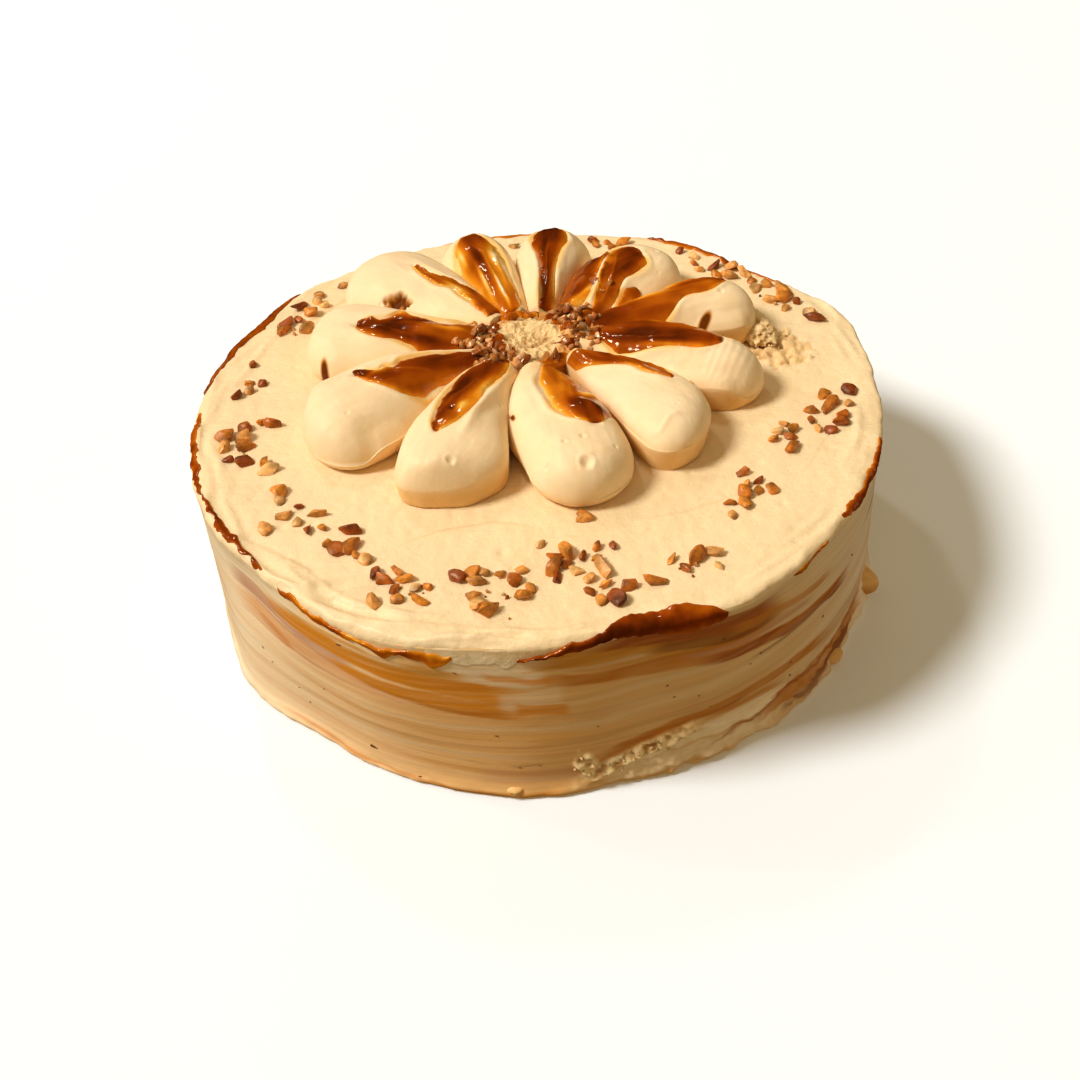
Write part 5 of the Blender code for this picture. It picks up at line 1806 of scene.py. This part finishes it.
def heap_caramel(finish):
    """Caramel round the heap's edge: patches between the crumb and the petals' inner ends."""
    for number, (start, end, brown, inner) in enumerate(HEAP_CARAMEL, start=1):
        angles = np.linspace(start, end, int((end - start) * 1.6))
        room = HEAP_CARAMEL_REACH - inner
        inner = inner + room * 0.4 * layered_noise(level_points(angles / 3.0), 4.0, 410 + number)
        outer = np.full_like(angles, HEAP_CARAMEL_REACH)
        across = np.linspace(-1, 1, 21)
        radius = (inner + outer)[:, None] / 2 + (outer - inner)[:, None] / 2 * across
        flat = polar_points(radius, angles[:, None], 0.0)
        floor = np.interp(radius, *zip(*HEAP_PROFILE[:-1])) - 0.2
        ends = rounded_end(from_ends(angles), 8)[:, None]
        uneven = 1.4 + 0.9 * layered_noise(flat, 4.5, 420 + number)
        level = floor + uneven * fullness(across, 4) * ends - POOL_SUNK
        flat = flat + FLOWER_FOOT
        points, faces = slab(lifted(flat, np.maximum(floor - 1.5, 0.2)), lifted(flat, level))
        tints = caramel_tints(brown, np.tile(across, 2 * len(angles)), points, 3.0, 430 + number)
        make_piece(f"heap_caramel_{number}", points, faces, tints, finish)


def flower_level(x, y, petals):
    """Height of the heap, a petal or its caramel over that place of the iced top."""
    x, y = np.array([float(x)]), np.array([float(y)])
    away = float(np.hypot(x - FLOWER_CENTRE[0], y - FLOWER_CENTRE[1])[0])
    if away < PETAL_START:
        return float(np.interp(away, *zip(*HEAP_PROFILE[:-1]))) + 0.6
    for petal in petals:
        s, across = petal.own_frame(x, y)
        if petal.covers(float(x[0]), float(y[0]), 0.0):
            level = float(petal.top(s, across)[0])
            for channel in petal.channels.values():
                middle, half = channel.middle_and_half(s)
                share = float(np.clip(1 - ((across - middle) / half) ** 2, 0, 1)[0])
                level += share * channel.thickness
            return level
    return 4.0


# ---- Chopped nuts and crumbs ----


def chopped_shapes(draw, count, corners, worn):
    """Chopped bits, each as points and faces: hulls of points at uneven distances, their edges worn off."""
    shapes = []
    golden = math.pi * (3 - math.sqrt(5))
    for _ in range(count):
        bm = bmesh.new()
        for i in range(corners):
            height = 1 - (2 * i + 1) / corners
            flat = math.sqrt(1 - height * height)
            spot = Vector((flat * math.cos(i * golden), flat * math.sin(i * golden), height))
            spot += Vector([draw.uniform(-0.5, 0.5) for _ in range(3)])
            bm.verts.new(spot.normalized() * draw.uniform(0.82, 1.15))
        hull = bmesh.ops.convex_hull(bm, input=bm.verts[:])
        spare = set(hull["geom_interior"] + hull["geom_unused"])
        inside = [vertex for vertex in spare if isinstance(vertex, bmesh.types.BMVert)]
        bmesh.ops.delete(bm, geom=inside, context="VERTS")
        bmesh.ops.bevel(bm, geom=bm.edges[:], offset=worn, segments=1, affect="EDGES", clamp_overlap=True)
        bm.verts.index_update()
        points = np.array([vertex.co for vertex in bm.verts])
        shapes.append((points, [[vertex.index for vertex in face.verts] for face in bm.faces]))
        bm.free()
    return shapes


class Chips:
    """Many chopped bits gathered into one mesh, each in one of a few shapes."""

    def __init__(self, shapes):
        self.shapes = shapes
        self.points, self.faces, self.tints, self.count = [], [], [], 0

    def add(self, spot, scale, turn, tint, draw, sunk=NUT_SUNK, out=(0, 0, 1)):
        """One bit, stretched, turned and pressed into its bed along the direction that faces out of it."""
        corners, faces = draw.choice(self.shapes)
        corners = (corners * scale) @ np.array(turn.to_matrix()).T
        out = np.array(out, float)
        reach = corners @ out
        lift = -reach.min() - sunk * (reach.max() - reach.min())
        corners = corners + np.array(spot) + out * lift
        self.faces += [[corner + self.count for corner in face] for face in faces]
        self.count += len(corners)
        self.points.append(corners)
        shade = draw.uniform(0.82, 1.12)
        skin = Vector([draw.uniform(-1, 1) for _ in range(3)]).normalized()
        skinned = smooth_step(0.15 + 1.3 * (corners - corners.mean(axis=0)) @ np.array(skin) / max(scale))
        self.tints.append(np.array(tint) * shade * (1 - 0.55 * skinned[:, None]))

    def finish_as(self, name, finish):
        """Makes the piece, its edges sharp where faces meet at a steep angle."""
        points, tints = np.concatenate(self.points), np.concatenate(self.tints)
        make_piece(name, points, self.faces, tints, finish, sharp=SHARP_ANGLE)


def cluster_spots(draw, petals):
    """Places for the nuts of each cluster, clear of the petals, of the cake's edge and of each other."""
    spots = []
    for angle, distance, count, round_it, outward in NUT_CLUSTERS:
        middle, = polar_path(((angle, distance),))
        placed = 0
        for _ in range(NUT_TRIES * count):
            across, out = draw.uniform(-round_it, round_it), draw.uniform(-outward, outward)
            x, y = turned_back(out, across, middle, angle)
            apart = min((math.hypot(x - px, y - py) for px, py in spots), default=99.0)
            if math.hypot(x, y) > NUT_OUTERMOST or apart < NUT_APART:
                continue
            if any(petal.covers(x, y, NUT_CLEAR) for petal in petals):
                continue
            spots.append((x, y))
            placed += 1
            if placed == count:
                break
    return spots


def drawn_size(draw, sizes, flattest=0.42):
    """The half sizes and the turn of one nut: most are small, some long."""
    size = sizes[0] + (sizes[1] - sizes[0]) * draw.random() ** 1.7
    scale = (size / 2, size / 2 * draw.uniform(0.50, 0.88), size / 2 * draw.uniform(flattest, 0.64))
    return scale, Euler((draw.uniform(-0.45, 0.45), draw.uniform(-0.45, 0.45), draw.uniform(0, math.tau)))


def scatter_nuts(petals, finish, glazed):
    """Nuts on the iced top in their clusters, a few that stuck to petals, and sticky ones round the heap."""
    draw = random.Random(NUT_SEED)
    shapes = chopped_shapes(draw, *NUT_SHAPES)
    on_top, on_flower = Chips(shapes), Chips(shapes)
    for x, y in cluster_spots(draw, petals):
        scale, turn = drawn_size(draw, NUT_SIZES)
        on_top.add((x, y, top_level(x, y)), scale, turn, draw.choice(NUT_TINTS), draw)
    for number, s, across in NUTS_ON_PETALS:
        petal = petals[number - 1]
        x, y, _ = petal.place(s, across, 0.0)
        scale, turn = drawn_size(draw, STUCK_SIZES)
        level = flower_level(x, y, petals) if s < petal.length else 0.0
        on_flower.add((x, y, CAKE_HEIGHT + GAP + level), scale, turn, draw.choice(NUT_TINTS[:2]), draw)
    sticky = random.Random(STICKY_SEED)
    for angle, distance, count, scatter in STICKY_CLUSTERS:
        for _ in range(count):
            turn, reach = sticky.uniform(0, math.tau), scatter * math.sqrt(sticky.random())
            x = FLOWER_CENTRE[0] + distance * math.cos(math.radians(angle)) + reach * math.cos(turn)
            y = FLOWER_CENTRE[1] + distance * math.sin(math.radians(angle)) + reach * math.sin(turn)
            scale, lean = drawn_size(sticky, STICKY_SIZES, 0.5)
            lean.rotate(Euler((sticky.uniform(-0.6, 0.6), sticky.uniform(-0.6, 0.6), 0.0)))
            level = CAKE_HEIGHT + GAP + flower_level(x, y, petals)
            on_flower.add((x, y, level), scale, lean, sticky.choice(STICKY_TINTS), sticky, STICKY_SUNK)
    on_top.finish_as("nuts_on_top", finish)
    on_flower.finish_as("nuts_in_flower", glazed)


def scatter_crumbs(finish):
    """Small crumbs at the torn ledge, in the torn patch and among the nuts, and dark specks in the wall."""
    draw = random.Random(CRUMB_SEED)
    shapes = chopped_shapes(draw, *CRUMB_SHAPES)
    crumbs, specks = Chips(shapes), Chips(shapes)
    for angle, height, distance, count, scatter, kind in CRUMB_GROUPS:
        for _ in range(count):
            across, along = draw.gauss(0, 0.5) * scatter, draw.gauss(0, 0.5) * scatter
            size = draw.uniform(*CRUMB_SIZES)
            scale = (size / 2, size / 2 * draw.uniform(0.6, 1), size / 2 * draw.uniform(0.6, 1))
            turn = Euler((draw.uniform(-3, 3), draw.uniform(-3, 3), draw.uniform(-3, 3)))
            if distance is None:
                place = angle + math.degrees(across / CAKE_RADIUS)
                level = max(height + along, 0.8)
                spot = polar_points(wall_at(place, level), place, level)
                out = polar_points(1.0, place, 0.0)
            else:
                place = angle + math.degrees(across / distance)
                x, y, _ = polar_points(distance + along, place, 0.0)
                spot = (x, y, top_level(x, y))
                out = (0, 0, 1)
            tint = CRUMB_PALE if kind == "sponge" else draw.choice(NUT_TINTS)
            crumbs.add(spot, scale, turn, tint, draw, out=out)
    for angle, height, length in WALL_SPECKS:
        spot = polar_points(wall_at(angle, height), angle, height)
        scale = (0.3, length / 2, length / 2 * draw.uniform(0.3, 0.5))
        turn = Euler((draw.uniform(-0.4, 0.4), 0.0, math.radians(angle)))
        specks.add(spot, scale, turn, BROWN, draw, sunk=0.5, out=polar_points(1.0, angle, 0.0))
    crumbs.finish_as("crumbs", finish)
    specks.finish_as("wall_specks", finish)


# ---- Floor, light and camera ----

CAMERA_PLACE = (0.0, -0.39545, 0.35442)
CAMERA_AIM = (-0.00127, 0.0, 0.0008)
CAMERA_LENS = 48.30
CAMERA_ROLL = -4.32
FLOOR_COLOUR = (0.92, 0.965, 0.995)
FLOOR_RADIUS = 6.0
FLOOR_SUNK = 0.0002
LIGHT_DISTANCE = 1.6
LIGHTS = (
    ("window", "SUN", 187, 49, 3.15, (1.0, 0.98, 0.96), {"angle": math.radians(16)}),
    ("glint", "AREA", 112, 50, 2.2, (1.0, 0.97, 0.93), {"shape": "RECTANGLE", "size": 0.09, "size_y": 0.16}),
    (
        "side_glint", "AREA", 160, 40, 1.6, (1.0, 0.97, 0.93),
        {"shape": "RECTANGLE", "size": 0.08, "size_y": 0.14},
    ),
    ("right_fill", "SUN", -6, 10, 0.24, (1.0, 0.93, 0.78), {"angle": math.radians(40)}),
)
ROOM_COLOUR = (1.0, 0.77, 0.44, 1.0)
ROOM_STRENGTH = 0.36


def aim_from(angle, height):
    """Direction of a light that comes from that angle and height over the horizon."""
    turn, lift = math.radians(angle), math.radians(height)
    return Vector((math.cos(turn) * math.cos(lift), math.sin(turn) * math.cos(lift), math.sin(lift)))


def add_floor():
    """A pale round floor, faintly mottled, that throws no light back onto the cake."""
    material, tree, shader = new_finish("pale_floor", roughness=0.75)
    mottle = grain(tree, (3, 3, 3)).outputs["Fac"]
    painted = scaled(tree, FLOOR_COLOUR, ranged(tree, mottle, (0.0, 1.0), 0.97, 1.0))
    tree.links.new(painted, shader.inputs["Base Color"])
    bm = bmesh.new()
    bmesh.ops.create_circle(bm, cap_ends=True, segments=96, radius=FLOOR_RADIUS)
    bmesh.ops.translate(bm, verts=bm.verts, vec=(0, 0, -FLOOR_SUNK))
    mesh = bpy.data.meshes.new("floor")
    bm.to_mesh(mesh)
    bm.free()
    mesh.materials.append(material)
    floor = bpy.data.objects.new("floor", mesh)
    floor.visible_diffuse = False
    floor.visible_glossy = False
    bpy.context.scene.collection.objects.link(floor)


def add_light(name, kind, azimuth, height, strength, colour, settings):
    """A light that shines on the cake's foot from that angle and height over the horizon."""
    data = bpy.data.lights.new(name, kind)
    data.energy = strength
    data.color = colour
    for key, value in settings.items():
        setattr(data, key, value)
    light = bpy.data.objects.new(name, data)
    out = aim_from(azimuth, height)
    light.location = out * LIGHT_DISTANCE
    light.rotation_euler = out.to_track_quat("Z", "Y").to_euler()
    bpy.context.scene.collection.objects.link(light)


def light_the_room():
    """A soft sun from the left, two small lights for glints in the caramel, a faint fill and a warm room."""
    for name, kind, azimuth, height, strength, colour, settings in LIGHTS:
        add_light(name, kind, azimuth, height, strength, colour, settings)
    world = bpy.data.worlds.new("room")
    bpy.context.scene.world = world
    world.use_nodes = True
    background = world.node_tree.nodes["Background"]
    background.inputs["Color"].default_value = ROOM_COLOUR
    background.inputs["Strength"].default_value = ROOM_STRENGTH
    world.cycles_visibility.glossy = False


def add_camera():
    """The camera, aimed near the foot of the cake's middle and rolled a little."""
    data = bpy.data.cameras.new("camera")
    data.lens = CAMERA_LENS
    camera = bpy.data.objects.new("camera", data)
    place = Vector(CAMERA_PLACE)
    look = (Vector(CAMERA_AIM) - place).to_track_quat("-Z", "Y").to_matrix()
    roll = Matrix.Rotation(math.radians(CAMERA_ROLL), 3, "Z")
    camera.matrix_world = Matrix.Translation(place) @ (look @ roll).to_4x4()
    bpy.context.scene.collection.objects.link(camera)
    bpy.context.scene.camera = camera
    bpy.context.scene.view_settings.view_transform = "Standard"


def main():
    """Makes every piece, then the floor, the lights and the camera."""
    petals = [Petal(number) for number in PETALS]
    cream, caramel, crumb = piped_cream(), glossy_caramel(), cake_crumb()
    icing_top(spread_icing())
    wall = scraped_icing()
    icing_side(wall)
    foot_lumps(wall)
    rim_caramel(caramel)
    for petal in petals:
        piped_petal(petal, cream)
    for petal in petals:
        for name, channel in petal.channels.items():
            node = f"caramel_{name}"
            caramel_pool(petal, channel, name, caramel, [node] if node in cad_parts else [])
    heap_of_crumbs(crumb)
    heap_caramel(caramel)
    torn_clump(petals[TORN_CLUMP_PETAL - 1], crumb)
    scatter_nuts(petals, chopped_nut("chopped_nut", 0.36), chopped_nut("glazed_nut", 0.16))
    scatter_crumbs(crumb)
    add_floor()
    light_the_room()
    add_camera()


main()
